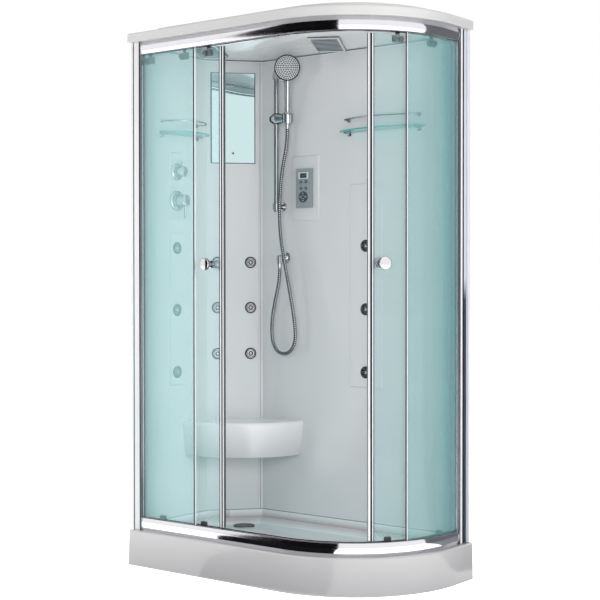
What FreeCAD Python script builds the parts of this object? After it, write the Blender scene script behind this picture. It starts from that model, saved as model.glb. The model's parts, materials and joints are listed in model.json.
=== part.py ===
"""Offset quadrant shower cabin: tray, moulded walls, roof, glazed curved front with two sliding doors.

Millimetres, +Z up, the origin in the middle of the footprint at floor level.
X runs along the long back wall to the right, Y from the glazed front to the back wall.
"""
import FreeCAD, Part
import math
import os
from FreeCAD import Vector as V

# Footprint and heights
overall_w = 1206.0
overall_d = 600.0
tray_h = 136.0
ledge_h = 27.0
wall_top_z = 2040.0
ceiling_drop = 18.0
roof_rim_h = 36.0
dome_rise = 24.0

# Plan of the glazed front: straight run, quarter arc, short straight side
deck = 25.0
flange_w = 42.0
rail_r = 436.0
wall_back = 30.0
pocket_back = 5.0
wall_step = 23.0
corner_w = 157.0
corner_d = 174.0

# Walls
wall_t = 4.0
flange_set = 2.0
flange_lip = 20.0
post_w = 11.0
post_d = 6.0
flange_groove_in = 13.0
flange_groove_w = 2.0
corner_groove_in = 18.0
corner_groove_w = 3.0
wall_groove_deep = 1.2
pocket_w = 65.0
pad_t = 5.0
pad_chamfer = 3.5
left_pad_w = 76.0
left_pad_s = -87.0
pad_low_z = 692.0
pad_mid_z = 1303.0
pad_next_z = 1353.0
pad_top_z = 1625.0
back_pad_w = 154.0
back_pad_top_z = 1493.0
panel_pad_s = -156.0
panel_pad_w = 138.0
panel_pad_low_z = 1354.0
panel_pad_top_z = 1618.0

# Rails
rail_depth = 50.0
rail_nose = 4.0
top_rail_h = 46.0
bottom_rail_h = 48.5
bottom_rail_depth = 41.0
groove_deep = 16.0
ledge_t = 3.0
skin_t = 2.5
track_in = 20.0
track_out = 38.0
track_floor = 22.0

# Glass
pane_t = 6.0
pane_set = 10.0
door_set = 26.0
slide_gap = 0.3
left_pane_x = -283.0
right_pane_deg = 63.9
door_low_gap = 3.5
door_high_gap = 8.0

# Doors, stored open
left_tail_gap = 6.0
left_lead_x = -143.0
right_lead_deg = 43.8
lip_bridge = 4.0
meet_gap = 0.6
profile_w = 24.0
profile_t = 2.0
profile_grip = 10.0
lip_w = 2.0
lip_set = 9.0
lip_reach = 21.0
tail_w = 1.5
tail_set = 19.0
tail_reach = 34.0
channel_w = 16.0
channel_set = 3.0
channel_reach = 18.3
channel_back = 4.0
post_reach = 61.0
cover_near = 0.3
cover_far = 1.5
cover_w = 11.0
cover_in = 8.0

# Roller hangers, wheels and lower guides
left_hanger_tail_in = 27.0
left_hanger_lead_ins = (205.0, 83.0)
right_hanger_degs = (60.0, 82.0)
left_guide_tail_in = 94.0
left_guide_lead_in = 105.0
right_guide_degs = (54.3, 88.0)
hanger_drop = 24.0
hanger_w = 44.0
hanger_plate_h = 26.0
hanger_plate_t = 3.0
hanger_neck_w = 16.0
curve_relief = 0.8
cap_r = 9.0
cap_t = 4.0
cap_space = 13.0
bolt_r = 4.0
bolt_gap = 1.0
wheel_r = 11.0
wheel_t = 7.0
wheel_set = 39.5
wheel_run = 0.3
axle_r = 3.0
axle_fit = 0.05
axle_end = 47.0
guide_w = 24.0
guide_t = 3.0
guide_low = 8.0
guide_high = 12.0
guide_foot_t = 4.0
guide_foot_h = 20.0

# Door knobs
knob_z = 1174.0
left_knob_in = 67.0
right_knob_in = 53.0
knob_r = 23.0
knob_len = 46.0
knob_head = 14.0
knob_neck_r = 11.0
knob_foot_r = 15.0
knob_foot_t = 5.0
knob_bolt_r = 6.0
knob_round = 2.0

# Tray
tray_inset = 6.0
tray_draft = 3.0
tray_edge_r = 6.0
floor_z = 110.0
floor_t = 10.0
skirt_t = 8.0
rim_in = 12.0
floor_in = 42.0
ledge_lip = 8.0
drain_side = 161.0
drain_back = 127.0
drain_r = 43.0
drain_hole_r = 30.0
drain_cover_t = 4.0
drain_stem_r = 9.0
trap_flange_r = 42.0
trap_flange_t = 4.0
trap_r = 36.0
trap_h = 76.0
trap_wall = 3.0
waste_r = 20.0
waste_bore_r = 17.5
waste_len = 40.0
waste_step = 1.0

# Frame and feet
tube_w = 30.0
tube_h = 30.0
tube_wall = 3.0
frame_side_in = 43.0
frame_arc_in = 213.0
frame_front_in = 120.0
frame_back_in = 85.0
cross_left_ins = (103.0, 423.0)
cross_right_ins = (483.0, 233.0)
foot_left_in = 73.0
foot_mid_x = -30.0
foot_arc_in = 273.0
foot_right_in = 83.0
foot_pad_r = 25.0
foot_pad_t = 8.0
foot_rod_r = 6.0
foot_nut_r = 11.0
foot_nut_t = 8.0

# Roof and ceiling
roof_t = 4.0
roof_round = 8.0
dome_in = 55.0
roof_seat_in = 54.0
ceiling_t = 3.0
ceiling_gap = 1.0
ceiling_flange = 8.0
grille_w = 118.0
grille_l = 286.0
grille_t = 8.0
grille_frame = 9.0
grille_slats = 9
grille_deg = 30.0
grille_right_in = (72.0, 160.0)
grille_left_in = (143.0, 215.0)
slat_t = 2.0
slat_deg = 40.0
vent_margin = 12.0

# Moulded seat
seat_r = 322.0
seat_low_r = 305.0
seat_stretch_share = 1.158
seat_low_z = 405.0
seat_top_z = 545.0
seat_round = 12.0
seat_wall = 5.0

# Mirror
mirror_s = 110.0
mirror_w = 186.0
mirror_low_z = 1596.0
mirror_top_z = 1970.0
mirror_t = 4.0
mirror_screw_zs = (1638.0, 1919.0)
screw_r = 6.0
screw_h = 2.5

# Massage jets
jet_r = 23.5
jet_h = 7.0
jet_lip = 2.5
jet_bowl_r = 15.0
jet_nozzle_r = 9.0
jet_nozzle_h = 8.5
jet_hole_r = 3.0
left_jet_s = -87.0
left_jet_zs = (746.0, 995.0, 1243.0)
corner_jet_ss = (45.0, 183.0)
corner_jet_zs = (811.0, 1001.0, 1188.0)
back_jet_s = 142.0
back_jet_zs = (753.0, 1000.0, 1248.0)

# Shelves
shelf_z = 1695.0
shelf_t = 6.0
shelf_corner_r = 22.0
left_shelf = (-183.0, 48.0, 62.0, 112.0, 13.0)
right_shelf = (34.0, 412.0, 42.0, 84.0, 26.0)
shelf_rail_up = 42.0
shelf_rail_r = 3.0
shelf_rail_in = 10.0
shelf_post_r = 4.0
shelf_clip_w = 20.0
shelf_clip_out = 26.0
shelf_clip_h = 14.0
shelf_clip_t = 4.0

# Mixer and diverter on the left wall
tap_s = -87.0
mixer_z = 1432.0
mixer_plate_r = 40.0
mixer_body_r = 23.0
mixer_body_out = 56.0
diverter_z = 1548.0
diverter_plate_r = 33.0
diverter_body_r = 20.0
diverter_body_out = 16.0
diverter_knob_r = 21.0
diverter_knob_out = 46.0
tap_plate_t = 8.0
tap_step_t = 5.0
tap_gap = 0.3
lever_hub_out = 14.0
lever_len = 72.0
lever_r = 4.5
diverter_lever_len = 40.0
diverter_lever_r = 3.0
spindle_r = 8.0
spindle_fit = 0.05
tail_r = 10.5
tail_len = 36.0
tail_up = 20.0

# Slide bar, slider and hand shower
bar_x = -273.0
bar_off = 45.0
bar_r = 9.0
bar_low_z = 1392.0
bar_top_z = 1966.0
bar_mount_r = 14.0
bar_mount_h = 26.0
bar_mount_in = 22.0
slider_z = 1770.0
slider_r = 23.0
slider_end_r = 15.0
slider_left = 24.0
slider_right = 46.0
slider_fit = 0.06
cup_x = -216.0
cup_r = 21.0
cup_h = 34.0
cup_bore_r = 12.6
cup_fit = 0.3
shower_turn = 38.0
shower_lean = 15.0
handle_low = 8.0
handle_r = 10.0
handle_top_r = 11.5
handle_len = 158.0
handle_cone_r = 14.5
head_up = 202.0
head_out = 12.0
head_r = 52.0
head_t = 24.0
head_tilt = 6.0
neck_r = 13.0
face_r = 44.0
face_t = 3.0
face_rows = 3
nozzle_r = 1.6
nozzle_h = 1.5

# Hose outlet elbow and the hose
hose_r = 7.0
nut_r = 9.5
nut_len = 16.0
hose_lead = 38.0
outlet_x = -260.0
outlet_off = 40.0
outlet_z = 1206.0
outlet_flange_r = 24.0
outlet_flange_t = 6.0
outlet_r = 11.0
outlet_drop = 14.0
hose_route = (
    (-234.0, 238.0, 1640.0), (-242.0, 229.0, 1580.0), (-247.0, 222.0, 1515.0),
    (-249.0, 218.0, 1450.0), (-248.0, 213.0, 1370.0), (-238.0, 208.0, 1290.0),
    (-221.0, 205.0, 1212.0), (-203.0, 206.0, 1130.0), (-189.0, 211.0, 1050.0),
    (-178.0, 217.0, 975.0), (-172.0, 222.0, 905.0), (-180.0, 226.0, 853.0),
    (-212.0, 229.0, 817.0), (-262.0, 231.0, 814.0), (-296.0, 232.0, 850.0),
    (-304.0, 232.0, 902.0), (-299.0, 231.0, 965.0), (-286.0, 230.0, 1024.0),
    (-270.0, 230.0, 1078.0))

# Control panel
panel_s = -153.0
panel_low_z = 1406.0
panel_h = 158.0
panel_w = 76.0
panel_t = 16.0
panel_round = 3.0
screen_w = 50.0
screen_h = 26.0
screen_t = 2.0
screen_z = 1536.0
key_r = 6.0
key_out = 3.0
key_deep = 5.0
key_gap = 0.3
key_travel_room = 1.5
key_spots = ((-13.0, 1511.0), (13.0, 1511.0), (-13.0, 1485.0), (13.0, 1485.0))
pad_key_r = 22.0
pad_key_z = 1450.0

# One overrun for every cut
over = 2.0

# Places worked out from the sizes above
x_left = -overall_w / 2
x_right = overall_w / 2
y_front = -overall_d / 2
y_back = overall_d / 2
rail_x0 = x_left + flange_w
rail_x1 = x_right - deck
rail_y0 = y_front + deck
arc_x = rail_x1 - rail_r
arc_y = rail_y0 + rail_r
wall_y = y_back - wall_back
pocket_y = y_back - pocket_back
ceiling_z = wall_top_z - ceiling_drop
wall_x = rail_x0 + wall_step
ledge_z = tray_h + ledge_h
bottom_rail_z = tray_h
bottom_rail_top = tray_h + bottom_rail_h
top_rail_z = wall_top_z - top_rail_h
hanger_z = top_rail_z - hanger_drop
pane_end = pane_set + pane_t
door_end = door_set + pane_t
pane_low_z = bottom_rail_top - groove_deep + slide_gap
pane_top_z = top_rail_z + groove_deep - slide_gap
door_low_z = bottom_rail_top + door_low_gap
door_top_z = top_rail_z - door_high_gap
ARC_AXIS = V(arc_x, arc_y, 0)
UP = V(0, 0, 1)

corner_len = math.hypot(corner_w, corner_d)
corner_deg = math.degrees(math.atan2(corner_d, corner_w))

# Places of the frame, drain and ceiling grilles
long_ys = (y_front + frame_front_in, y_back - frame_back_in)
long_front = (x_left + frame_side_in, x_right - frame_arc_in)
long_back = (x_left + frame_side_in, x_right - frame_side_in)
cross_xs = [x_left + d for d in cross_left_ins] + [x_right - d for d in cross_right_ins]
foot_spots = [(x, long_ys[0]) for x in (x_left + foot_left_in, foot_mid_x, x_right - foot_arc_in)]
foot_spots += [(x, long_ys[1]) for x in (x_left + foot_left_in, foot_mid_x, x_right - foot_right_in)]
drain_x = wall_x + drain_side
drain_y = wall_y - drain_back
grille_spots = ((arc_x - grille_right_in[0], wall_y - grille_right_in[1]),
                (wall_x + grille_left_in[0], rail_y0 + grille_left_in[1]))

# Door travel
left_tail_x = rail_x0 + left_tail_gap
left_hanger_xs = (left_tail_x + left_hanger_tail_in,) + tuple(left_lead_x - d for d in left_hanger_lead_ins)
left_guide_xs = (left_tail_x + left_guide_tail_in, left_lead_x - left_guide_lead_in)
left_travel = left_pane_x + lip_bridge - left_tail_x
left_shut_x = left_lead_x + left_travel
meet_r = rail_r - door_set + profile_t
right_shut_deg = math.degrees(math.asin((left_shut_x + meet_gap - arc_x) / meet_r))
right_swing = right_lead_deg - right_shut_deg
door_mid_r = rail_r - door_set - pane_t / 2
right_tail_deg = right_pane_deg - math.degrees(lip_bridge / door_mid_r) + right_swing


def save(name, shape):
    """Write one sub-part to its STEP file."""
    shape.exportStep("parts/" + name + ".step")


def block(x0, y0, z0, x1, y1, z1):
    """A box between two corners."""
    return Part.makeBox(x1 - x0, y1 - y0, z1 - z0, V(x0, y0, z0))


def rod(start, end, radius):
    """A round rod from one point to another."""
    line = end - start
    return Part.makeCylinder(radius, line.Length, start, line)


def prism(points, z0, z1):
    """A straight-sided solid from plan points (x, y)."""
    corners = [V(x, y, z0) for x, y in points]
    face = Part.Face(Part.makePolygon(corners + corners[:1]))
    return face.extrude(V(0, 0, z1 - z0))


def fuse(shapes):
    """One solid from several that touch."""
    return shapes[0].multiFuse(shapes[1:]).removeSplitter()


def group(shapes):
    """Several separate solids under one name."""
    return Part.makeCompound(shapes)


def turned(profile):
    """A solid of revolution about -Y, from points (radius, height off the wall)."""
    points = [V(r, -h, 0) for r, h in profile]
    face = Part.Face(Part.makePolygon(points + points[:1]))
    return face.revolve(V(0, 0, 0), V(0, 1, 0), 360)


def on_wall(shape, wall, s, z):
    """Move a shape that is modelled on the plane Y = 0, room side -Y, to its place on a wall."""
    placed = shape.copy()
    placed.translate(V(s, 0, z))
    if wall == "left":
        placed.rotate(V(0, 0, 0), UP, 90)
        placed.translate(V(wall_x, 0, 0))
    elif wall == "corner":
        placed.rotate(V(0, 0, 0), UP, corner_deg)
        placed.translate(V(wall_x, wall_y - corner_d, 0))
    else:
        placed.translate(V(0, wall_y, 0))
    return placed


def around(shape, degrees):
    """Turn a shape that stands at the start of the arc along the arc."""
    turned_shape = shape.copy()
    turned_shape.rotate(ARC_AXIS, UP, degrees)
    return turned_shape


def section(points, x):
    """A face across the front rail at x, from (set back, height); a triple pair is an arc."""
    edges = []
    here = points[0]
    at = lambda p: V(x, rail_y0 + p[0], p[1])
    for item in points[1:] + points[:1]:
        if len(item) == 4:
            middle, item = item[:2], item[2:]
            edges.append(Part.Arc(at(here), at(middle), at(item)).toShape())
        else:
            edges.append(Part.LineSegment(at(here), at(item)).toShape())
        here = item
    return Part.Face(Part.Wire(edges))


def along_front(points, x_start, y_end):
    """A profile carried along the straight front, round the arc and along the side."""
    straight = section(points, x_start).extrude(V(arc_x - x_start, 0, 0))
    arc = section(points, arc_x).revolve(ARC_AXIS, UP, 90)
    side_face = around(section(points, arc_x), 90)
    side = side_face.extrude(V(0, y_end - arc_y, 0))
    return fuse([straight, arc, side])


def bar_section(near, far, z0, z1):
    """Corner points of a plain rectangular section."""
    return [(near, z0), (far, z0), (far, z1), (near, z1)]


def straight_piece(near, far, z0, z1, x0, x1):
    """A flat piece that follows the straight front."""
    return block(x0, rail_y0 + near, z0, x1, rail_y0 + far, z1)


def arc_piece(near, far, z0, z1, deg0, deg1):
    """A curved piece that follows the arc between two angles."""
    face = around(section(bar_section(near, far, z0, z1), arc_x), deg0)
    return face.revolve(ARC_AXIS, UP, deg1 - deg0)


def room_wire(inset, z):
    """The plan of the room inside walls and rails, moved inwards by an inset."""
    front = rail_y0 + rail_depth + inset
    right = rail_x1 - rail_depth - inset
    radius = rail_r - rail_depth - inset
    left = wall_x + inset
    back = wall_y - inset
    slope = inset * math.tan(math.radians(corner_deg / 2))
    back_slope = inset * math.tan(math.radians((90 - corner_deg) / 2))
    a = V(left, wall_y - corner_d - slope, z)
    b = V(wall_x + corner_w + back_slope, back, z)
    c = V(left, front, z)
    d = V(arc_x, front, z)
    turn = math.radians(45)
    m = V(arc_x + radius * math.sin(turn), arc_y - radius * math.cos(turn), z)
    e = V(right, arc_y, z)
    f = V(right, back, z)
    edges = [Part.LineSegment(a, c).toShape(), Part.LineSegment(c, d).toShape(),
             Part.Arc(d, m, e).toShape(), Part.LineSegment(e, f).toShape(),
             Part.LineSegment(f, b).toShape(), Part.LineSegment(b, a).toShape()]
    return Part.Wire(edges)


def outer_wire(inset, z, left_edge=x_left + tray_inset, back_edge=y_back):
    """The plan of the tray and the roof, moved inwards by an inset."""
    radius = rail_r + deck - inset
    c = V(left_edge + inset, y_front + inset, z)
    d = V(arc_x, y_front + inset, z)
    turn = math.radians(45)
    m = V(arc_x + radius * math.sin(turn), arc_y - radius * math.cos(turn), z)
    e = V(x_right - inset, arc_y, z)
    f = V(x_right - inset, back_edge, z)
    g = V(left_edge + inset, back_edge, z)
    edges = [Part.LineSegment(c, d).toShape(), Part.Arc(d, m, e).toShape(),
             Part.LineSegment(e, f).toShape(), Part.LineSegment(f, g).toShape(),
             Part.LineSegment(g, c).toShape()]
    return Part.Wire(edges)


def raised(wire, height):
    """A straight solid on a plan wire."""
    return Part.Face(wire).extrude(V(0, 0, height))


def tapered(low, high):
    """A solid between two plan wires of the same kind."""
    return Part.makeLoft([low, high], True, True)


def make_tray():
    """The acrylic tray: drafted skirt, rim, raised ledge under the walls and a shallow basin."""
    body = tapered(outer_wire(0, 0), outer_wire(tray_draft, tray_h))
    edges = [e for e in body.Edges
             if e.BoundBox.ZMin > tray_h - over and e.BoundBox.YMin < y_back - over
             and e.BoundBox.XMax > x_left + tray_inset + 2 * tray_draft]
    body = body.makeFillet(tray_edge_r, edges)
    left = x_left + tray_inset + tray_draft
    back_x = rail_x1 - rail_depth
    ledge_y = rail_y0 + rail_depth + wall_t / 2
    ledge = prism([(left, ledge_y), (back_x - pocket_w, ledge_y),
                   (back_x - pocket_w, y_back), (left, y_back)], tray_h - over, ledge_z)
    ledge = ledge.cut(raised(room_wire(ledge_lip, tray_h - 2 * over), ledge_h + 4 * over))
    front_cut = block(wall_x + ledge_lip, y_front, tray_h - 2 * over,
                      back_x, arc_y, ledge_z + over)
    ledge = ledge.cut(front_cut)
    body = body.fuse(ledge)
    basin = tapered(room_wire(floor_in, floor_z), room_wire(rim_in, ledge_z + over))
    body = body.cut(basin)
    hollow = raised(outer_wire(skirt_t, -over, back_edge=y_back + over), floor_z - floor_t + over)
    body = body.cut(hollow)
    drain = Part.makeCylinder(drain_hole_r, floor_t + 2 * over, V(drain_x, drain_y, floor_z - floor_t - over))
    save("tray", body.cut(drain).removeSplitter())


def make_drain():
    """The chrome drain cover and the trap below it with its waste pipe and spigot."""
    cover = Part.makeCylinder(drain_r, drain_cover_t, V(drain_x, drain_y, floor_z))
    cover = cover.makeChamfer(drain_cover_t / 2, [e for e in cover.Edges
                              if e.BoundBox.ZMin > floor_z + drain_cover_t / 2])
    stem_low = floor_z - floor_t - trap_flange_t
    stem = Part.makeCylinder(drain_stem_r, floor_z - stem_low, V(drain_x, drain_y, stem_low))
    save("drain_cover", fuse([cover, stem]))
    top = floor_z - floor_t
    spot = V(drain_x, drain_y, top - trap_h)
    cup = Part.makeCylinder(trap_r, trap_h, spot)
    flange = Part.makeCylinder(trap_flange_r, trap_flange_t, V(drain_x, drain_y, top - trap_flange_t))
    axis_z = top - trap_h + waste_r + trap_wall
    spigot_y = y_back - waste_len
    pipe = rod(V(drain_x, drain_y, axis_z), V(drain_x, spigot_y, axis_z), waste_r - waste_step)
    spigot = rod(V(drain_x, spigot_y, axis_z), V(drain_x, y_back, axis_z), waste_r)
    bore = rod(V(drain_x, drain_y, axis_z), V(drain_x, y_back + over, axis_z), waste_bore_r)
    inner = Part.makeCylinder(trap_r - trap_wall, trap_h, spot + V(0, 0, trap_wall))
    save("drain_trap", cup.multiFuse([flange, pipe, spigot]).cut(inner.fuse(bore)))


def make_frame():
    """The steel tube frame under the tray and its adjustable feet."""
    top = floor_z - floor_t
    low = top - tube_h

    def tube(x0, y0, x1, y1):
        """A square tube between two plan corners."""
        body = block(x0, y0, low, x1, y1, top)
        if x1 - x0 > y1 - y0:
            return body.cut(block(x0 - over, y0 + tube_wall, low + tube_wall,
                                  x1 + over, y1 - tube_wall, top - tube_wall))
        return body.cut(block(x0 + tube_wall, y0 - over, low + tube_wall,
                              x1 - tube_wall, y1 + over, top - tube_wall))

    half = tube_w / 2
    tubes = [tube(long_front[0], long_ys[0] - half, long_front[1], long_ys[0] + half),
             tube(long_back[0], long_ys[1] - half, long_back[1], long_ys[1] + half)]
    tubes += [tube(x - half, long_ys[0] + half, x + half, long_ys[1] - half) for x in cross_xs]
    save("tray_frame", fuse(tubes))
    feet = []
    for x, y in foot_spots:
        pad = Part.makeCone(foot_pad_r, foot_nut_r, foot_pad_t, V(x, y, 0))
        shank = Part.makeCylinder(foot_rod_r, low - foot_pad_t, V(x, y, foot_pad_t))
        nut = prism([(x + foot_nut_r * math.cos(math.radians(60 * i)),
                      y + foot_nut_r * math.sin(math.radians(60 * i))) for i in range(6)],
                    low - foot_nut_t, low)
        feet.append(fuse([pad, shank, nut]))
    save("tray_feet", group(feet))


def wall_lines():
    """The visible line of the walls in plan, and the same line one wall thickness behind it."""
    flange_y = rail_y0 + flange_set
    step_y = rail_y0 + rail_depth
    pocket_x = rail_x1 - pocket_w
    line = [(x_left, flange_y + flange_lip), (x_left, flange_y), (rail_x0, flange_y),
            (rail_x0, step_y), (wall_x, step_y + wall_step), (wall_x, wall_y - corner_d),
            (wall_x + corner_w, wall_y), (pocket_x - (pocket_y - wall_y), wall_y),
            (pocket_x, pocket_y), (rail_x1, pocket_y), (rail_x1, pocket_y - post_d),
            (rail_x1 + post_w, pocket_y - post_d), (rail_x1 + post_w, y_back)]
    directions = []
    for (xa, ya), (xb, yb) in zip(line, line[1:]):
        length = math.hypot(xb - xa, yb - ya)
        directions.append(((xb - xa) / length, (yb - ya) / length))
    back = []
    for i, (x, y) in enumerate(line):
        before = directions[max(i - 1, 0)]
        after = directions[min(i, len(directions) - 1)]
        nx, ny = -before[1] - after[1], before[0] + after[0]
        scale = 2 * wall_t / (nx * nx + ny * ny)
        back.append((x + nx * scale, y + ny * scale))
    return line, back


def wall_piece(line, back, first, last, z0):
    """One stretch of wall between two corners of the wall line."""
    points = line[first:last + 1] + back[first:last + 1][::-1]
    return prism(points, z0, wall_top_z)


def pad(width, z0, z1):
    """A raised moulded field with sloping edges, centred on s = 0."""
    half = width / 2
    low = Part.makePolygon([V(-half, 0, z0), V(half, 0, z0), V(half, 0, z1), V(-half, 0, z1), V(-half, 0, z0)])
    inset = half - pad_chamfer
    high = Part.makePolygon([V(-inset, -pad_t, z0 + pad_chamfer), V(inset, -pad_t, z0 + pad_chamfer),
                             V(inset, -pad_t, z1 - pad_chamfer), V(-inset, -pad_t, z1 - pad_chamfer),
                             V(-inset, -pad_t, z0 + pad_chamfer)])
    return Part.makeLoft([low, high], True, True)


def make_walls():
    """The moulded left wall, corner column and back wall with their raised fields."""
    line, back = wall_lines()
    left = fuse([wall_piece(line, back, 0, 3, tray_h), wall_piece(line, back, 3, 5, ledge_z),
                 on_wall(pad(left_pad_w, pad_low_z, pad_mid_z), "left", left_pad_s, 0),
                 on_wall(pad(left_pad_w, pad_next_z, pad_top_z), "left", left_pad_s, 0)])
    tails = [on_wall(rod(V(0, -over - pad_t, 0), V(0, wall_t + over, 0), spindle_r), "left", tap_s, z)
             for z in (mixer_z + tail_up, mixer_z - tail_up, diverter_z)]
    flange_y = rail_y0 + flange_set
    flange_x = x_left + flange_groove_in
    seam = block(flange_x, flange_y - over, tray_h - over, flange_x + flange_groove_w,
                 flange_y + wall_groove_deep, wall_top_z + over)
    save("left_wall", left.cut(group(tails + [seam])))
    seam = block(-corner_groove_w / 2, -over, ledge_z - over, corner_groove_w / 2,
                 wall_groove_deep, wall_top_z + over)
    seam = on_wall(seam, "corner", corner_len - corner_groove_in, 0)
    save("corner_wall", wall_piece(line, back, 5, 6, ledge_z).cut(seam))
    rear = fuse([wall_piece(line, back, 6, 7, ledge_z), wall_piece(line, back, 7, 12, tray_h),
                 on_wall(pad(back_pad_w, pad_low_z, back_pad_top_z), "back", back_jet_s, 0),
                 on_wall(pad(panel_pad_w, panel_pad_low_z, panel_pad_top_z), "back", panel_pad_s, 0)])
    save("back_wall", rear)


def make_seat():
    """The hollow moulded corner seat, a quarter oval that leans in towards its foot."""
    height = seat_top_z - seat_low_z
    shell = Part.makeCone(seat_low_r, seat_r, height)
    shell = shell.makeFillet(seat_round, [e for e in shell.Edges if e.BoundBox.ZMin > height - over])
    inner = Part.makeCone(seat_low_r - seat_wall, seat_r - seat_wall - seat_round, height - seat_wall,
                          V(0, 0, -over))
    widen = FreeCAD.Matrix()
    widen.scale(V(seat_stretch_share, 1, 1))
    shell, inner = shell.transformGeometry(widen), inner.transformGeometry(widen)
    for shape in (shell, inner):
        shape.translate(V(wall_x, wall_y, seat_low_z))
    room = raised(room_wire(0, seat_low_z - over), height + 2 * over)
    hollow = raised(room_wire(seat_wall, seat_low_z - 2 * over), height)
    save("seat", shell.common(room).cut(inner.common(hollow)))


def make_roof():
    """The roof shell with its rim and low dome, and the ceiling panel with two louvred grilles."""
    rim = raised(outer_wire(0, wall_top_z), roof_rim_h)
    rim_top = wall_top_z + roof_rim_h
    dome = raised(outer_wire(deck + dome_in, rim_top - over, back_edge=y_back - dome_in),
                  dome_rise + over)
    solid = rim.fuse(dome).removeSplitter()
    top = rim_top + dome_rise
    edges = [e for e in solid.Edges
             if (e.BoundBox.ZMin > top - over or (abs(e.BoundBox.ZMin - rim_top) < over
                 and e.BoundBox.ZMax < rim_top + over and e.BoundBox.YMin < y_back - over))
             and e.BoundBox.ZLength < over]
    solid = solid.makeFillet(roof_round, edges)
    inside = raised(outer_wire(roof_t, wall_top_z + roof_t, back_edge=y_back - roof_t), roof_rim_h - 2 * roof_t)
    attic = raised(outer_wire(deck + dome_in + roof_t, rim_top - 2 * roof_t, back_edge=y_back - dome_in - roof_t),
                   dome_rise + roof_t)
    mouth = raised(room_wire(ceiling_gap + roof_t, wall_top_z - over), roof_t + 2 * over)
    save("roof", solid.cut(inside.multiFuse([attic, mouth])))
    seat_z = wall_top_z + roof_t
    skirt = raised(room_wire(2 * ceiling_gap + roof_t, ceiling_z), seat_z + ceiling_t - ceiling_z)
    lip = raised(room_wire(roof_t + ceiling_gap - ceiling_flange, seat_z), ceiling_t)
    cup = raised(room_wire(2 * ceiling_gap + roof_t + ceiling_t, ceiling_z + ceiling_t), seat_z)
    panel = skirt.fuse(lip).cut(cup)
    vents = []
    grilles = []
    for x, y in grille_spots:
        hole = block(vent_margin - grille_w / 2, vent_margin - grille_l / 2, ceiling_z - over,
                     grille_w / 2 - vent_margin, grille_l / 2 - vent_margin, ceiling_z + ceiling_t + over)
        grille = make_grille()
        for shape in (hole, grille):
            shape.rotate(V(0, 0, 0), UP, grille_deg)
            shape.translate(V(x, y, 0))
        vents.append(hole)
        grilles.append(grille)
    save("ceiling_panel", panel.cut(group(vents)))
    save("ceiling_grilles", group(grilles))


def make_grille():
    """One louvred grille below the ceiling, centred on the origin, slats along X."""
    half_w = grille_w / 2
    half_l = grille_l / 2
    low = ceiling_z - grille_t
    frame = block(-half_w, -half_l, low, half_w, half_l, ceiling_z)
    frame = frame.cut(block(grille_frame - half_w, grille_frame - half_l, low - over,
                            half_w - grille_frame, half_l - grille_frame, ceiling_z + over))
    pieces = [frame]
    pitch = (grille_l - 2 * grille_frame) / (grille_slats + 1)
    for i in range(grille_slats):
        y = grille_frame - half_l + (i + 1) * pitch
        slat = block(grille_frame - half_w - slat_t, -grille_t / 2, -slat_t / 2,
                     half_w - grille_frame + slat_t, grille_t / 2, slat_t / 2)
        slat.rotate(V(0, 0, 0), V(1, 0, 0), slat_deg)
        slat.translate(V(0, y, low + grille_t / 2))
        pieces.append(slat)
    return fuse(pieces)


def make_rails():
    """The curved chrome rails above and below the glass."""
    groove = (pane_set - slide_gap, pane_end + slide_gap)
    z0, z1 = top_rail_z, wall_top_z
    top = [(rail_nose, z0), (0, (z0 + z1) / 2, rail_nose, z1), (rail_depth, z1), (rail_depth, z0),
           (track_out, z0), (track_out, z0 + ledge_t), (rail_depth - skin_t, z0 + ledge_t),
           (rail_depth - skin_t, z1 - skin_t), (track_in, z1 - skin_t), (track_in, z0),
           (groove[1], z0), (groove[1], z0 + groove_deep), (groove[0], z0 + groove_deep), (groove[0], z0)]
    save("top_rail", along_front(top, rail_x0, pocket_y))
    z0, z1 = bottom_rail_z, bottom_rail_top
    low = [(rail_nose, z0), (0, (z0 + z1) / 2, rail_nose, z1), (groove[0], z1),
           (groove[0], z1 - groove_deep), (groove[1], z1 - groove_deep), (groove[1], z1), (track_in, z1),
           (track_in, z0 + track_floor), (track_out, z0 + track_floor), (track_out, z1),
           (bottom_rail_depth, z1), (bottom_rail_depth, z0)]
    save("bottom_rail", along_front(low, rail_x0, pocket_y))
    make_channels(groove)


def make_channels(groove):
    """The two upright channels on the walls, each with a cover strip that hides the rails' ends."""
    low, high = bottom_rail_top, top_rail_z
    body = straight_piece(channel_set, channel_reach, low, high, rail_x0, rail_x0 + channel_w)
    slot = straight_piece(groove[0], groove[1], low - over, high + over,
                          rail_x0 + channel_back, rail_x0 + channel_w + over)
    web = straight_piece(-cover_near, channel_set, low, high, rail_x0, rail_x0 + cover_w)
    cover = straight_piece(-cover_far, -cover_near, tray_h, wall_top_z, rail_x0, rail_x0 + cover_w)
    left = fuse([body.cut(slot), web, cover])
    start = pocket_y - post_reach
    cover_start, cover_end = start + cover_in, pocket_y - cover_in
    body = block(rail_x1 - channel_reach, start, low, rail_x1 - channel_set, pocket_y, high)
    slot = block(rail_x1 - groove[1], start - over, low - over, rail_x1 - groove[0],
                 pocket_y - channel_back, high + over)
    web = block(rail_x1 - channel_set, cover_start, low, rail_x1 + cover_near, cover_end, high)
    cover = block(rail_x1 + cover_near, cover_start, tray_h, rail_x1 + cover_far, cover_end, wall_top_z)
    save("wall_channels", group([left, fuse([body.cut(slot), web, cover])]))


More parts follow.
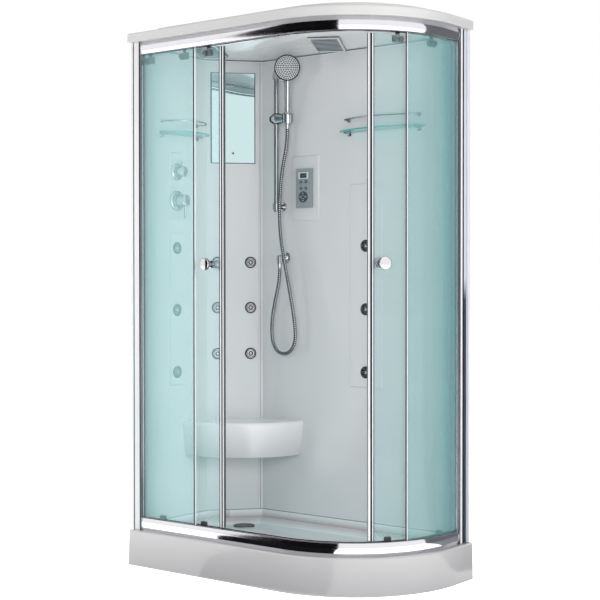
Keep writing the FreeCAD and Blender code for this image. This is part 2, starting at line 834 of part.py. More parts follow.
def make_fixed_glass():
    """The flat left pane, the curved right pane and the lip seals on their free edges."""
    start = rail_x0 + channel_back + slide_gap
    save("left_fixed_glass", straight_piece(pane_set, pane_end, pane_low_z, pane_top_z, start, left_pane_x))
    curved = arc_piece(pane_set, pane_end, pane_low_z, pane_top_z, right_pane_deg, 90)
    side = block(rail_x1 - pane_end, arc_y, pane_low_z, rail_x1 - pane_set,
                 pocket_y - channel_back - slide_gap, pane_top_z)
    save("right_fixed_glass", fuse([curved, side]))
    low, high = bottom_rail_top + slide_gap, top_rail_z - slide_gap
    left = straight_piece(lip_set, lip_reach, low, high, left_pane_x, left_pane_x + lip_w)
    lip_deg = math.degrees(lip_w / (rail_r - pane_end))
    right = arc_piece(lip_set, lip_reach, low, high, right_pane_deg - lip_deg, right_pane_deg)
    save("fixed_glass_seals", group([left, right]))


def knob_profile(half):
    """Radius and height points of one half of the turned double knob, from the glass out."""
    foot = half + knob_foot_t
    neck = knob_len - knob_head
    return [(knob_bolt_r, half), (knob_foot_r, half), (knob_foot_r, foot - knob_round), (knob_neck_r, foot),
            (knob_neck_r, neck - 2 * knob_round), (knob_r, neck), (knob_r, knob_len - knob_round),
            (knob_r - knob_round, knob_len)]


def make_knob(relief):
    """A turned double knob through the glass, on the axis Y = middle of the door glass."""
    half = pane_t / 2 + slide_gap
    outer = knob_profile(half)
    inner = [(r, -h) for r, h in reversed(knob_profile(half + relief))]
    knob = turned([(0, -knob_len)] + inner + outer + [(0, knob_len)])
    knob.translate(V(0, rail_y0 + door_set + pane_t / 2, knob_z))
    return knob


def bolt_hole(x, z, radius):
    """A round hole through the door glass at a station."""
    return rod(V(x, rail_y0 + door_set - over, z), V(x, rail_y0 + door_end + over, z), radius)


def make_hanger(x, relief):
    """A roller hanger at one station: caps outside, plate inside, neck and axle."""
    inner = rail_y0 + door_end + relief
    plate_low = hanger_z - hanger_plate_h / 2
    pieces = [block(x - hanger_w / 2, inner, plate_low, x + hanger_w / 2, inner + hanger_plate_t,
                    plate_low + hanger_plate_h)]
    axle_z = top_rail_z + ledge_t + wheel_run + wheel_r
    pieces.append(block(x - hanger_neck_w / 2, inner, hanger_z, x + hanger_neck_w / 2,
                        inner + hanger_plate_t, axle_z + hanger_neck_w / 2))
    pieces.append(rod(V(x, inner, axle_z), V(x, rail_y0 + axle_end, axle_z), axle_r))
    outer = rail_y0 + door_set - cap_t
    for side in (-cap_space, cap_space):
        pieces.append(rod(V(x + side, outer, hanger_z), V(x + side, inner, hanger_z), bolt_r))
        pieces.append(rod(V(x + side, outer, hanger_z), V(x + side, outer + cap_t, hanger_z), cap_r))
    return fuse(pieces)


def make_wheel(x):
    """A grooved nylon wheel on the ledge of the top rail."""
    axle_z = top_rail_z + ledge_t + wheel_run + wheel_r
    bevel = wheel_t / 6
    wheel = turned([(axle_r + axle_fit, 0), (wheel_r - bevel, 0), (wheel_r, -bevel),
                    (wheel_r, bevel - wheel_t), (wheel_r - bevel, -wheel_t), (axle_r + axle_fit, -wheel_t)])
    wheel.translate(V(x, rail_y0 + wheel_set, axle_z))
    return wheel


def make_guide(x, relief):
    """A nylon shoe clipped on the door's lower edge, with a foot in the bottom rail."""
    mid = rail_y0 + door_set + pane_t / 2
    near = mid - pane_t / 2 - slide_gap
    far = mid + pane_t / 2 + slide_gap + relief
    low = door_low_z - guide_low
    body = block(x - guide_w / 2, near - guide_t, low, x + guide_w / 2, far + guide_t, door_low_z + guide_high)
    slot = block(x - guide_w / 2 - over, near, door_low_z, x + guide_w / 2 + over,
                 far, door_low_z + guide_high + over)
    foot = block(x - guide_w / 2, mid - guide_foot_t / 2, low - guide_foot_h, x + guide_w / 2,
                 mid + guide_foot_t / 2, low)
    return fuse([body.cut(slot), foot])


def make_left_door():
    """The flat left door with its seals, hangers, wheels, guides and knob."""
    lead = left_lead_x - profile_w + profile_grip
    glass = straight_piece(door_set, door_end, door_low_z, door_top_z, left_tail_x, lead)
    holes = [bolt_hole(x + side, hanger_z, bolt_r + bolt_gap)
             for x in left_hanger_xs for side in (-cap_space, cap_space)]
    knob_x = left_lead_x - left_knob_in
    holes.append(bolt_hole(knob_x, knob_z, knob_bolt_r + bolt_gap))
    save("left_door_glass", glass.cut(group(holes)))
    profile = straight_piece(door_set - profile_t, door_end + profile_t, door_low_z, door_top_z,
                             left_lead_x - profile_w, left_lead_x)
    slot = straight_piece(door_set, door_end, door_low_z - over, door_top_z + over,
                          left_lead_x - profile_w - over, lead)
    tail = straight_piece(tail_set, tail_reach, door_low_z, door_top_z, left_tail_x - tail_w, left_tail_x)
    save("left_door_seals", group([profile.cut(slot), tail]))
    save("left_door_hangers", group([make_hanger(x, 0) for x in left_hanger_xs]))
    save("left_door_guides", group([make_guide(x, 0) for x in left_guide_xs]))
    for name, x in zip(("outer", "middle", "inner"), left_hanger_xs):
        save("left_" + name + "_wheel", make_wheel(x))
    knob = make_knob(0)
    knob.translate(V(knob_x, 0, 0))
    save("left_knob", knob)


def make_right_door():
    """The curved right door with its seals, hangers, wheels, guides and knob."""
    grip = math.degrees((profile_w - profile_grip) / door_mid_r)
    whole = math.degrees(profile_w / door_mid_r)
    lead = right_lead_deg + grip
    glass = arc_piece(door_set, door_end, door_low_z, door_top_z, lead, right_tail_deg)
    knob_deg = right_lead_deg + math.degrees(right_knob_in / door_mid_r)
    holes = [around(bolt_hole(arc_x + side, hanger_z, bolt_r + bolt_gap), deg)
             for deg in right_hanger_degs for side in (-cap_space, cap_space)]
    holes.append(around(bolt_hole(arc_x, knob_z, knob_bolt_r + bolt_gap), knob_deg))
    save("right_door_glass", glass.cut(group(holes)))
    profile = arc_piece(door_set - profile_t, door_end + profile_t, door_low_z, door_top_z,
                        right_lead_deg, right_lead_deg + whole)
    slot = arc_piece(door_set, door_end, door_low_z - over, door_top_z + over, lead, right_lead_deg + whole + grip)
    tail_deg = math.degrees(tail_w / door_mid_r)
    tail = arc_piece(tail_set, tail_reach, door_low_z, door_top_z, right_tail_deg, right_tail_deg + tail_deg)
    save("right_door_seals", group([profile.cut(slot), tail]))
    save("right_door_hangers", group([around(make_hanger(arc_x, curve_relief), d) for d in right_hanger_degs]))
    save("right_door_guides", group([around(make_guide(arc_x, curve_relief), d) for d in right_guide_degs]))
    for name, deg in zip(("front", "rear"), right_hanger_degs):
        save("right_" + name + "_wheel", around(make_wheel(arc_x), deg))
    knob = make_knob(curve_relief)
    knob.translate(V(arc_x, 0, 0))
    save("right_knob", around(knob, knob_deg))


def make_mirror():
    """The mirror on the corner column with its two cap screws."""
    plate = block(-mirror_w / 2, -mirror_t, mirror_low_z, mirror_w / 2, 0, mirror_top_z)
    holes = [rod(V(0, over, z), V(0, -mirror_t - over, z), screw_r / 2 + bolt_gap) for z in mirror_screw_zs]
    save("mirror", on_wall(plate.cut(group(holes)), "corner", mirror_s, 0))
    caps = [on_wall(turned([(0, 0), (screw_r / 2, 0), (screw_r / 2, mirror_t), (screw_r, mirror_t),
                            (screw_r * 2 / 3, mirror_t + screw_h), (0, mirror_t + screw_h)]),
                    "corner", mirror_s, z) for z in mirror_screw_zs]
    save("mirror_screws", group(caps))


def make_jet(back):
    """A round massage jet: chrome ring round a bowl with a nozzle, on a surface at height back."""
    ring = turned([(0, back), (jet_r, back), (jet_r, back + jet_h - jet_lip), (jet_r - jet_lip, back + jet_h),
                   (jet_bowl_r + jet_lip, back + jet_h), (jet_bowl_r, back + jet_lip), (0, back + jet_lip)])
    nozzle = turned([(jet_hole_r, back + jet_lip), (jet_nozzle_r, back + jet_lip),
                     (jet_nozzle_r - jet_lip, back + jet_nozzle_h), (jet_hole_r, back + jet_nozzle_h)])
    return fuse([ring, nozzle])


def make_jets():
    """Three jets on the left wall, six on the corner column and three on the back wall."""
    jets = [on_wall(make_jet(pad_t), "left", left_jet_s, z) for z in left_jet_zs]
    jets += [on_wall(make_jet(0), "corner", s, z) for s in corner_jet_ss for z in corner_jet_zs]
    jets += [on_wall(make_jet(pad_t), "back", back_jet_s, z) for z in back_jet_zs]
    save("massage_jets", group(jets))


def make_shelf(name, wall, sizes):
    """A bowed glass shelf with wall clips and a chrome rail above its front edge."""
    s0, s1, end_d, mid_d, post_in = sizes
    mid = (s0 + s1) / 2
    a, b = V(s0, 0, shelf_z), V(s0, -end_d, shelf_z)
    c, d = V(s1, -end_d, shelf_z), V(s1, 0, shelf_z)
    edges = [Part.LineSegment(a, b).toShape(), Part.Arc(b, V(mid, -mid_d, shelf_z), c).toShape(),
             Part.LineSegment(c, d).toShape(), Part.LineSegment(d, a).toShape()]
    plate = Part.Face(Part.Wire(edges)).extrude(V(0, 0, shelf_t))
    corners = [e for e in plate.Edges if e.BoundBox.ZLength > shelf_t / 2 and e.BoundBox.YMax < -end_d / 2]
    plate = plate.makeFillet(shelf_corner_r, corners)
    save(name + "_shelf_glass", on_wall(plate, wall, 0, 0))
    posts = (s0 + post_in, s1 - post_in)
    clips = []
    for s in posts:
        body = block(s - shelf_clip_w / 2, -shelf_clip_out, shelf_z - shelf_clip_t,
                     s + shelf_clip_w / 2, 0, shelf_z - shelf_clip_t + shelf_clip_h)
        slot = block(s - shelf_clip_w, -shelf_clip_out - over, shelf_z, s + shelf_clip_w, over, shelf_z + shelf_t)
        clips.append(body.cut(slot).fuse(block(s - shelf_clip_w / 2, -shelf_clip_t / 2, shelf_z - shelf_clip_h,
                                               s + shelf_clip_w / 2, 0, shelf_z - shelf_clip_t)))
    rail_z = shelf_z + shelf_t + shelf_rail_up
    start = V(posts[0], shelf_rail_in - end_d, rail_z)
    end = V(posts[1], shelf_rail_in - end_d, rail_z)
    middle = V(mid, shelf_rail_in - mid_d, rail_z)
    path = Part.Wire([Part.Arc(start, middle, end).toShape()])
    tangent = path.Edges[0].tangentAt(path.Edges[0].FirstParameter)
    ring = Part.Wire([Part.Circle(start, tangent, shelf_rail_r).toShape()])
    rail = path.makePipeShell([ring], True, False)
    pieces = [rail]
    for s in posts:
        tip = V(s, shelf_rail_in - end_d, rail_z)
        pieces.append(rod(V(s, 0, rail_z), tip, shelf_rail_r))
        pieces.append(Part.makeCylinder(shelf_rail_r, 2 * shelf_rail_r, tip - V(0, 0, shelf_rail_r)))
        pieces.append(rod(V(s, 0, rail_z), V(s, -shelf_post_r, rail_z), 2 * shelf_post_r))
    return [on_wall(clip, wall, 0, 0) for clip in clips], on_wall(fuse(pieces), wall, 0, 0)


def make_shelves():
    """Both shelves, and the chrome clips that hold their glass."""
    left_clips, left_rail = make_shelf("left", "left", left_shelf)
    right_clips, right_rail = make_shelf("right", "back", right_shelf)
    save("shelf_clips", group(left_clips + right_clips))
    save("shelf_rails", group([left_rail, right_rail]))


def make_taps():
    """The mixer with its lever and the diverter with its knob, on the left wall."""
    back = pad_t
    plate = turned([(0, back), (mixer_plate_r, back), (mixer_plate_r, back + tap_step_t),
                    (mixer_plate_r - tap_step_t, back + tap_plate_t), (mixer_body_r, back + tap_plate_t),
                    (mixer_body_r, mixer_body_out - lever_hub_out - tap_gap),
                    (0, mixer_body_out - lever_hub_out - tap_gap)])
    tails = [rod(V(0, -back, z), V(0, tail_len, z), spindle_r) for z in (-tail_up, tail_up)]
    ends = [rod(V(0, wall_t + tap_gap, z), V(0, tail_len, z), tail_r) for z in (-tail_up, tail_up)]
    spindle = rod(V(0, tap_gap - mixer_body_out + lever_hub_out, 0), V(0, over - mixer_body_out, 0), spindle_r)
    save("mixer_body", on_wall(fuse([plate, spindle] + tails + ends), "left", tap_s, mixer_z))
    hub = turned([(spindle_r + spindle_fit, mixer_body_out - lever_hub_out), (mixer_body_r, mixer_body_out - lever_hub_out),
                  (mixer_body_r, mixer_body_out - tap_gap), (mixer_body_r - tap_step_t / 2, mixer_body_out + over),
                  (0, mixer_body_out + over), (0, mixer_body_out - over + tap_gap),
                  (spindle_r + spindle_fit, mixer_body_out - over + tap_gap)])
    mid = -mixer_body_out + lever_hub_out / 2
    lever = rod(V(0, mid, -mixer_body_r + lever_r), V(0, mid, -lever_len), lever_r)
    save("mixer_lever", on_wall(fuse([hub, lever]), "left", tap_s, mixer_z))
    plate = turned([(0, back), (diverter_plate_r, back), (diverter_plate_r, back + tap_step_t),
                    (diverter_plate_r - tap_step_t, back + tap_plate_t), (diverter_body_r, back + tap_plate_t),
                    (diverter_body_r, diverter_body_out), (spindle_r, diverter_body_out),
                    (spindle_r, diverter_knob_out - tap_step_t), (0, diverter_knob_out - tap_step_t)])
    tail = rod(V(0, -back, 0), V(0, tail_len, 0), spindle_r)
    save("diverter_body", on_wall(fuse([plate, tail]), "left", tap_s, diverter_z))
    near = diverter_body_out + tap_gap
    knob = turned([(spindle_r + spindle_fit, near), (diverter_knob_r - knob_round, near),
                   (diverter_knob_r, near + knob_round), (diverter_knob_r, diverter_knob_out - knob_round),
                   (diverter_knob_r - 2 * knob_round, diverter_knob_out), (0, diverter_knob_out),
                   (0, diverter_knob_out - tap_step_t + tap_gap),
                   (spindle_r + spindle_fit, diverter_knob_out - tap_step_t + tap_gap)])
    mid = -(near + diverter_knob_out) / 2
    pin = rod(V(0, mid, diverter_knob_r - diverter_lever_r), V(0, mid, diverter_lever_len), diverter_lever_r)
    save("diverter_knob", on_wall(fuse([knob, pin]), "left", tap_s, diverter_z))


def make_slide_bar():
    """The slide bar, its end mounts on the back wall, and the slider with its holder cup."""
    bar_y = wall_y - bar_off
    save("slide_bar", rod(V(bar_x, bar_y, bar_low_z), V(bar_x, bar_y, bar_top_z), bar_r))
    mounts = []
    for z in (bar_low_z + bar_mount_in, bar_top_z - bar_mount_in):
        sleeve = Part.makeCylinder(bar_mount_r, bar_mount_h, V(bar_x, bar_y, z - bar_mount_h / 2))
        arm = rod(V(bar_x, bar_y, z), V(bar_x, wall_y, z), bar_mount_r * 2 / 3)
        foot = rod(V(bar_x, wall_y - tap_step_t, z), V(bar_x, wall_y, z), bar_mount_r + tap_step_t)
        bore = Part.makeCylinder(bar_r + slider_fit, bar_mount_h + 2 * over,
                                 V(bar_x, bar_y, z - bar_mount_h / 2 - over))
        mounts.append(fuse([sleeve, arm, foot]).cut(bore))
    save("slide_bar_mounts", group(mounts))
    belly = [(0, -slider_left), (slider_end_r, -slider_left), (slider_r, -slider_left / 3),
             (slider_r, slider_right / 4), (slider_end_r, slider_right), (0, slider_right)]
    barrel = turned([(r, -h) for r, h in belly])
    barrel.rotate(V(0, 0, 0), UP, -90)
    barrel.translate(V(bar_x, bar_y, slider_z))
    cup = Part.makeCylinder(cup_r, cup_h, V(0, 0, -cup_h / 2))
    cup_bore = Part.makeCylinder(cup_bore_r, cup_h + 4 * over, V(0, 0, -cup_h / 2 - 2 * over))
    body = barrel.fuse(to_cup(cup)).cut(to_cup(cup_bore))
    bore = rod(V(bar_x, bar_y, slider_z - slider_r - over), V(bar_x, bar_y, slider_z + slider_r + over),
               bar_r + slider_fit)
    save("slider", body.cut(bore).removeSplitter())


def to_cup(shape):
    """Lean a shape back on the holder's axis, turn it to the room and move it to the cup."""
    placed = shape.copy()
    placed.rotate(V(0, 0, 0), V(1, 0, 0), shower_lean)
    placed.rotate(V(0, 0, 0), UP, shower_turn)
    placed.translate(V(cup_x, wall_y - bar_off, slider_z))
    return placed


def make_hand_shower():
    """The hand shower in its holder: handle, neck, round head and its nozzle face."""
    low = -cup_h / 2 - handle_low
    shoulder = cup_h / 2 + slide_gap
    bore_r = cup_bore_r - cup_fit
    profile = [(0, low), (handle_r, low), (bore_r, -cup_h / 2), (bore_r, shoulder),
               (handle_cone_r, shoulder), (handle_r, shoulder + handle_low), (handle_top_r, handle_len),
               (neck_r, head_up - head_t / 2), (0, head_up - head_t / 2)]
    handle = turned([(r, -h) for r, h in profile])
    handle.rotate(V(0, 0, 0), V(1, 0, 0), 90)
    head = turned([(0, -head_t / 2), (head_r / 2, -head_t / 2), (head_r * 7 / 8, -head_t / 4),
                   (head_r, 0), (head_r, head_t / 3), (head_r - face_t, head_t / 2),
                   (face_r + slide_gap, head_t / 2), (face_r + slide_gap, head_t / 2 - face_t), (0, head_t / 2 - face_t)])
    face = turned([(0, head_t / 2 - face_t), (face_r, head_t / 2 - face_t), (face_r, head_t / 2), (0, head_t / 2)])
    nozzles = []
    for row in range(1, face_rows + 1):
        radius = row * face_r / (face_rows + 1)
        for i in range(6 * row):
            turn = 2 * math.pi * i / (6 * row)
            tip = prism([(nozzle_r * math.cos(math.radians(60 * k)), nozzle_r * math.sin(math.radians(60 * k)))
                         for k in range(6)], head_t / 2, head_t / 2 + nozzle_h)
            tip.rotate(V(0, 0, 0), V(1, 0, 0), 90)
            tip.translate(V(radius * math.cos(turn), 0, radius * math.sin(turn)))
            nozzles.append(tip)
    face = face.multiFuse(nozzles)
    placed = []
    for shape in (head, face):
        shape.rotate(V(0, 0, 0), V(1, 0, 0), head_tilt - shower_lean)
        shape.translate(V(0, -head_out, head_up))
        placed.append(to_cup(shape))
    body = to_cup(handle).cut(placed[1]).fuse(placed[0])
    save("hand_shower", body)
    save("spray_face", placed[1])


def hose_points():
    """The hose's route from the nut on the handle to the nut on the outlet elbow."""
    low = -cup_h / 2 - handle_low - nut_len
    start = [to_cup(Part.Vertex(V(0, 0, z))).Vertexes[0].Point for z in (low, low - hose_lead)]
    mouth = V(outlet_x, wall_y - outlet_off, outlet_z - outlet_drop - outlet_r - nut_len)
    return start + [V(*p) for p in hose_route] + [mouth - V(0, 0, hose_lead), mouth]


def make_hose():
    """The metal hose as straight runs joined by tangent arcs, with a nut at each end."""
    points = hose_points()
    edges = []
    here = points[0]
    for before, at, after in zip(points, points[1:], points[2:]):
        run_in, run_out = at - before, after - at
        turn = run_in.getAngle(run_out)
        setback = 0.45 * min(run_in.Length, run_out.Length)
        radius = setback / math.tan(turn / 2)
        u, v = V(run_in).normalize(), V(run_out).normalize()
        p0, p1 = at - u * setback, at + v * setback
        centre_way = V(v - u).normalize()
        centre = at + centre_way * math.hypot(radius, setback)
        middle = centre - centre_way * radius
        edges.append(Part.LineSegment(here, p0).toShape())
        edges.append(Part.Arc(p0, middle, p1).toShape())
        here = p1
        print("hose radius", round(radius, 1), "turn", round(math.degrees(turn), 1),
              "run", round(run_out.Length, 1))
    edges.append(Part.LineSegment(here, points[-1]).toShape())
    path = Part.Wire(edges)
    ring = Part.Wire([Part.Circle(points[0], points[1] - points[0], hose_r).toShape()])
    hose = path.makePipeShell([ring], True, False)
    print("hose length", round(path.Length, 1), "volume ratio",
          round(hose.Volume / (math.pi * hose_r ** 2 * path.Length), 5))
    save("hose", hose)
    low = -cup_h / 2 - handle_low
    top_nut = to_cup(Part.makeCone(nut_r * 3 / 4, nut_r, nut_len, V(0, 0, low - nut_len)))
    end = points[-1]
    end_nut = Part.makeCone(nut_r * 3 / 4, nut_r, nut_len, end)
    save("handle_nut", top_nut)
    save("outlet_nut", end_nut)
    outlet_y = wall_y - outlet_off
    flange = turned([(0, 0), (outlet_flange_r, 0), (outlet_flange_r, outlet_flange_t / 2),
                     (outlet_r, outlet_flange_t), (0, outlet_flange_t)])
    flange.translate(V(outlet_x, wall_y, outlet_z))
    pipe = rod(V(outlet_x, wall_y, outlet_z), V(outlet_x, outlet_y, outlet_z), outlet_r)
    bend = Part.makeSphere(outlet_r, V(outlet_x, outlet_y, outlet_z))
    drop = rod(V(outlet_x, outlet_y, outlet_z), end + V(0, 0, nut_len), outlet_r)
    save("hose_outlet", fuse([flange, pipe, bend, drop]))


def make_panel():
    """The control panel: housing, display and travelling keys."""
    half = panel_w / 2
    top = panel_low_z + panel_h
    body = block(-half, -pad_t - panel_t, panel_low_z, half, -pad_t, top)
    corners = [e for e in body.Edges if e.BoundBox.YLength > panel_t / 2]
    body = body.makeFillet(panel_round, corners)
    front = -pad_t - panel_t
    pockets = [block(-screen_w / 2, front - over, screen_z - screen_h / 2,
                     screen_w / 2, front + screen_t, screen_z + screen_h / 2)]
    keys = []
    bottom = front + key_deep + key_travel_room
    for (s, z), radius in zip(key_spots + ((0, pad_key_z),), (key_r,) * len(key_spots) + (pad_key_r,)):
        pockets.append(rod(V(s, front - over, z), V(s, bottom, z), radius + key_gap))
        key = rod(V(s, front - key_out, z), V(s, front + key_deep, z), radius)
        rim = [e for e in key.Edges if e.BoundBox.YMax < front]
        keys.append(key.makeChamfer(key_out / 3, rim))
    save("panel_housing", on_wall(body.cut(group(pockets)), "back", panel_s, 0))
    screen = block(-screen_w / 2, front, screen_z - screen_h / 2,
                   screen_w / 2, front + screen_t, screen_z + screen_h / 2)
    save("panel_display", on_wall(screen, "back", panel_s, 0))
    for name, key in zip(("power_key", "light_key", "fan_key", "radio_key", "cursor_key"), keys):
        save(name, on_wall(key, "back", panel_s, 0))


os.makedirs("parts", exist_ok=True)
make_tray()
make_drain()
make_frame()
make_walls()
make_seat()
make_roof()
make_rails()
make_fixed_glass()
make_left_door()
make_right_door()
make_mirror()
make_jets()
make_shelves()
make_taps()
make_slide_bar()
make_hand_shower()
make_hose()
make_panel()
print("left door travel", round(left_travel, 2), "right door swing", round(right_swing, 3),
      "tail angle", round(right_tail_deg, 2))
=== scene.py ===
"""Looks of an offset quadrant shower cabin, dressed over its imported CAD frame.

Metres, the CAD's own frame: X to the right along the back wall, Y from the glazed
front to the back wall, Z up, the origin in the middle of the footprint on the floor.
"""

import json
import logging
import math
from dataclasses import dataclass, field
from enum import Enum
from typing import Iterable, Sequence

import bmesh
import bpy
import numpy as np
from mathutils import Matrix, Vector

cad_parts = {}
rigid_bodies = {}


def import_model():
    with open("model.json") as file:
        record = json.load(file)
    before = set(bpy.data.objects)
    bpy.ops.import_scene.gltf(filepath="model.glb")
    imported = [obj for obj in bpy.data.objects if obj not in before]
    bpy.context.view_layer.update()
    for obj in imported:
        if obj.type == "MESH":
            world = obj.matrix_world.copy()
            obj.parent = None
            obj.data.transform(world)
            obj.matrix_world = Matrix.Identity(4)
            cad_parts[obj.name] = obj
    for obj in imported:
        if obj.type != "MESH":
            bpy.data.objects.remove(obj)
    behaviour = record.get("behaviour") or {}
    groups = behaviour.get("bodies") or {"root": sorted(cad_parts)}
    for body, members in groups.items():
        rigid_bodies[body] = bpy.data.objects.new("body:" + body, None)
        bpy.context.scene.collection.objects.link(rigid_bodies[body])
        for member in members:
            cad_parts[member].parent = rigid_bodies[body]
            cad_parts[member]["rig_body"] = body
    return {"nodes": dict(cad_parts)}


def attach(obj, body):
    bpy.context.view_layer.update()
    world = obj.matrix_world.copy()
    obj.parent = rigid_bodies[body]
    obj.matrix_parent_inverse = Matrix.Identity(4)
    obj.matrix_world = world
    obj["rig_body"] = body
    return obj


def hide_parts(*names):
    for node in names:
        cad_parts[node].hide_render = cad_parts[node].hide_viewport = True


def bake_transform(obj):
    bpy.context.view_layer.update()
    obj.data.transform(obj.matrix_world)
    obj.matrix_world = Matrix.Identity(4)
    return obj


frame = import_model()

logging.basicConfig(level=logging.INFO, format="%(message)s")
log = logging.getLogger("cabin")
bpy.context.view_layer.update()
WELD = 2e-6  # points of a new mesh nearer than this, in metres, become one
CAD_WELD = 5e-6  # the same on a copy of a CAD node
SPECK = 1e-7  # edges shorter than this, in metres, are taken out
FLAT_DEGREES = 0.2  # faces of a CAD copy that differ by less become one
Grid = np.ndarray
Colour = tuple[float, float, float]


class Wall(Enum):
    """The three inner walls that fittings stand on."""

    LEFT = "left"
    CORNER = "corner"
    BACK = "back"


class Body(Enum):
    """The moving and standing bodies of the CAD frame that pieces ride on."""

    CABIN = "cabin"
    LEFT_DOOR = "left_door"
    LEFT_OUTER_WHEEL = "left_outer_wheel"
    LEFT_MIDDLE_WHEEL = "left_middle_wheel"
    LEFT_INNER_WHEEL = "left_inner_wheel"
    RIGHT_DOOR = "right_door"
    RIGHT_FRONT_WHEEL = "right_front_wheel"
    RIGHT_REAR_WHEEL = "right_rear_wheel"
    SLIDER = "slider"
    MIXER_LEVER = "mixer_lever"
    DIVERTER_KNOB = "diverter_knob"
    POWER_KEY = "power_key"
    LIGHT_KEY = "light_key"
    FAN_KEY = "fan_key"
    RADIO_KEY = "radio_key"
    CURSOR_KEY = "cursor_key"


@dataclass(frozen=True)
class Plan:
    """The cabin's plan and heights, as the CAD has them."""

    rail_x0: float = -0.561
    rail_x1: float = 0.578
    rail_y0: float = -0.275
    rail_r: float = 0.436
    arc_x: float = 0.142
    arc_y: float = 0.161
    wall_x: float = -0.538
    wall_y: float = 0.270
    pocket_y: float = 0.295
    corner_w: float = 0.157
    corner_d: float = 0.174
    top_rail_z: float = 1.994
    wall_top_z: float = 2.040
    bottom_rail_z: float = 0.136
    bottom_rail_top: float = 0.1845

    def straight(self) -> float:
        """Length of the straight front up to the arc."""
        return self.arc_x - self.rail_x0

    def bend(self) -> float:
        """Length of the quarter arc along the rail's outer face."""
        return self.rail_r * math.pi / 2

    def whole(self) -> float:
        """Length of the rail from the left flange to the end of its side."""
        return self.straight() + self.bend() + self.pocket_y - self.arc_y


PLAN = Plan()


def along_rail(s: Grid, o: Grid, z: Grid) -> Grid:
    """Carry stations along the rail, depths behind its face and heights into space.

    Formula: on the straight x grows with s; on the arc the point sits at the arc's
    centre plus (radius - o) at an angle of the arc length over the radius; after
    the arc y grows with s.

    Args:
        s: distance along the rail's outer face from its left end.
        o: distance behind the outer face, towards the room.
        z: height.

    Returns:
        Points with a last axis of three.
    """
    s, o, z = np.broadcast_arrays(s, o, z)
    first, bend = PLAN.straight(), PLAN.bend()
    angle = np.clip((s - first) / PLAN.rail_r, 0, math.pi / 2)
    radius = PLAN.rail_r - o
    x = PLAN.arc_x + radius * np.sin(angle) + np.minimum(s - first, 0)
    y = PLAN.arc_y - radius * np.cos(angle) + np.maximum(s - first - bend, 0)
    return np.stack([x, y, z], axis=-1)


def around_arc(degrees: Grid, o: Grid, z: Grid) -> Grid:
    """Carry angles about the arc's centre, depths behind the rail's face and heights into space.

    Args:
        degrees: angle about the arc's centre from the straight front.
        o: distance behind the outer face, towards the room.
        z: height.

    Returns:
        Points with a last axis of three.
    """
    a, o, z = np.broadcast_arrays(np.radians(degrees), o, z)
    radius = PLAN.rail_r - o
    x = PLAN.arc_x + radius * np.sin(a)
    y = PLAN.arc_y - radius * np.cos(a)
    return np.stack([x, y, z], axis=-1)


def upright(near: float, far: float, low: float, high: float) -> Grid:
    """The section of an upright band: two depths behind the rail's face and two heights.

    Args:
        near: depth of its outer face.
        far: depth of its inner face.
        low: height of its foot.
        high: height of its top.

    Returns:
        Four points of (depth, height).
    """
    return np.array([(near, low), (far, low), (far, high), (near, high)])


def washer(inner: float, outer: float, low: float, high: float) -> list[tuple[float, float]]:
    """The closed profile of a flat ring, to be turned.

    Args:
        inner: radius of its hole.
        outer: radius of its rim.
        low: height of its foot.
        high: height of its top.

    Returns:
        Profile points of (radius, height).
    """
    return [(inner, low), (outer, low), (outer, high), (inner, high), (inner, low)]


def disc(radius: float, high: float) -> list[tuple[float, float]]:
    """The profile of a flat disc that stands on its own plane, to be turned."""
    return [(0, 0), (radius, 0), (radius, high), (0, high)]


def wall_matrix(wall: Wall, s: float, z: float) -> Matrix:
    """The place of a fitting modelled with its back on the plane Y = 0 and its front to -Y.

    Args:
        wall: the wall that carries it.
        s: its place along the wall, as the CAD counts it.
        z: its height.

    Returns:
        The matrix from the fitting's own frame to the row frame.
    """
    lift = Matrix.Translation((s, 0, z))
    if wall is Wall.LEFT:
        turn = Matrix.Translation((PLAN.wall_x, 0, 0)) @ Matrix.Rotation(math.pi / 2, 4, "Z")
    elif wall is Wall.CORNER:
        angle = math.atan2(PLAN.corner_d, PLAN.corner_w)
        foot = (PLAN.wall_x, PLAN.wall_y - PLAN.corner_d, 0)
        turn = Matrix.Translation(foot) @ Matrix.Rotation(angle, 4, "Z")
    else:
        turn = Matrix.Translation((0, PLAN.wall_y, 0))
    return turn @ lift


def toward(origin: Sequence[float], axis: Sequence[float]) -> Matrix:
    """The matrix that puts a shape modelled along +Z at an origin, pointing along an axis."""
    turn = Vector(axis).to_track_quat("Z", "Y").to_matrix().to_4x4()
    return Matrix.Translation(Vector(origin)) @ turn


def moved(points: Grid, place: Matrix) -> Grid:
    """Points, one in each row, moved by a matrix."""
    m = np.array(place)
    return points @ m[:3, :3].T + m[:3, 3]


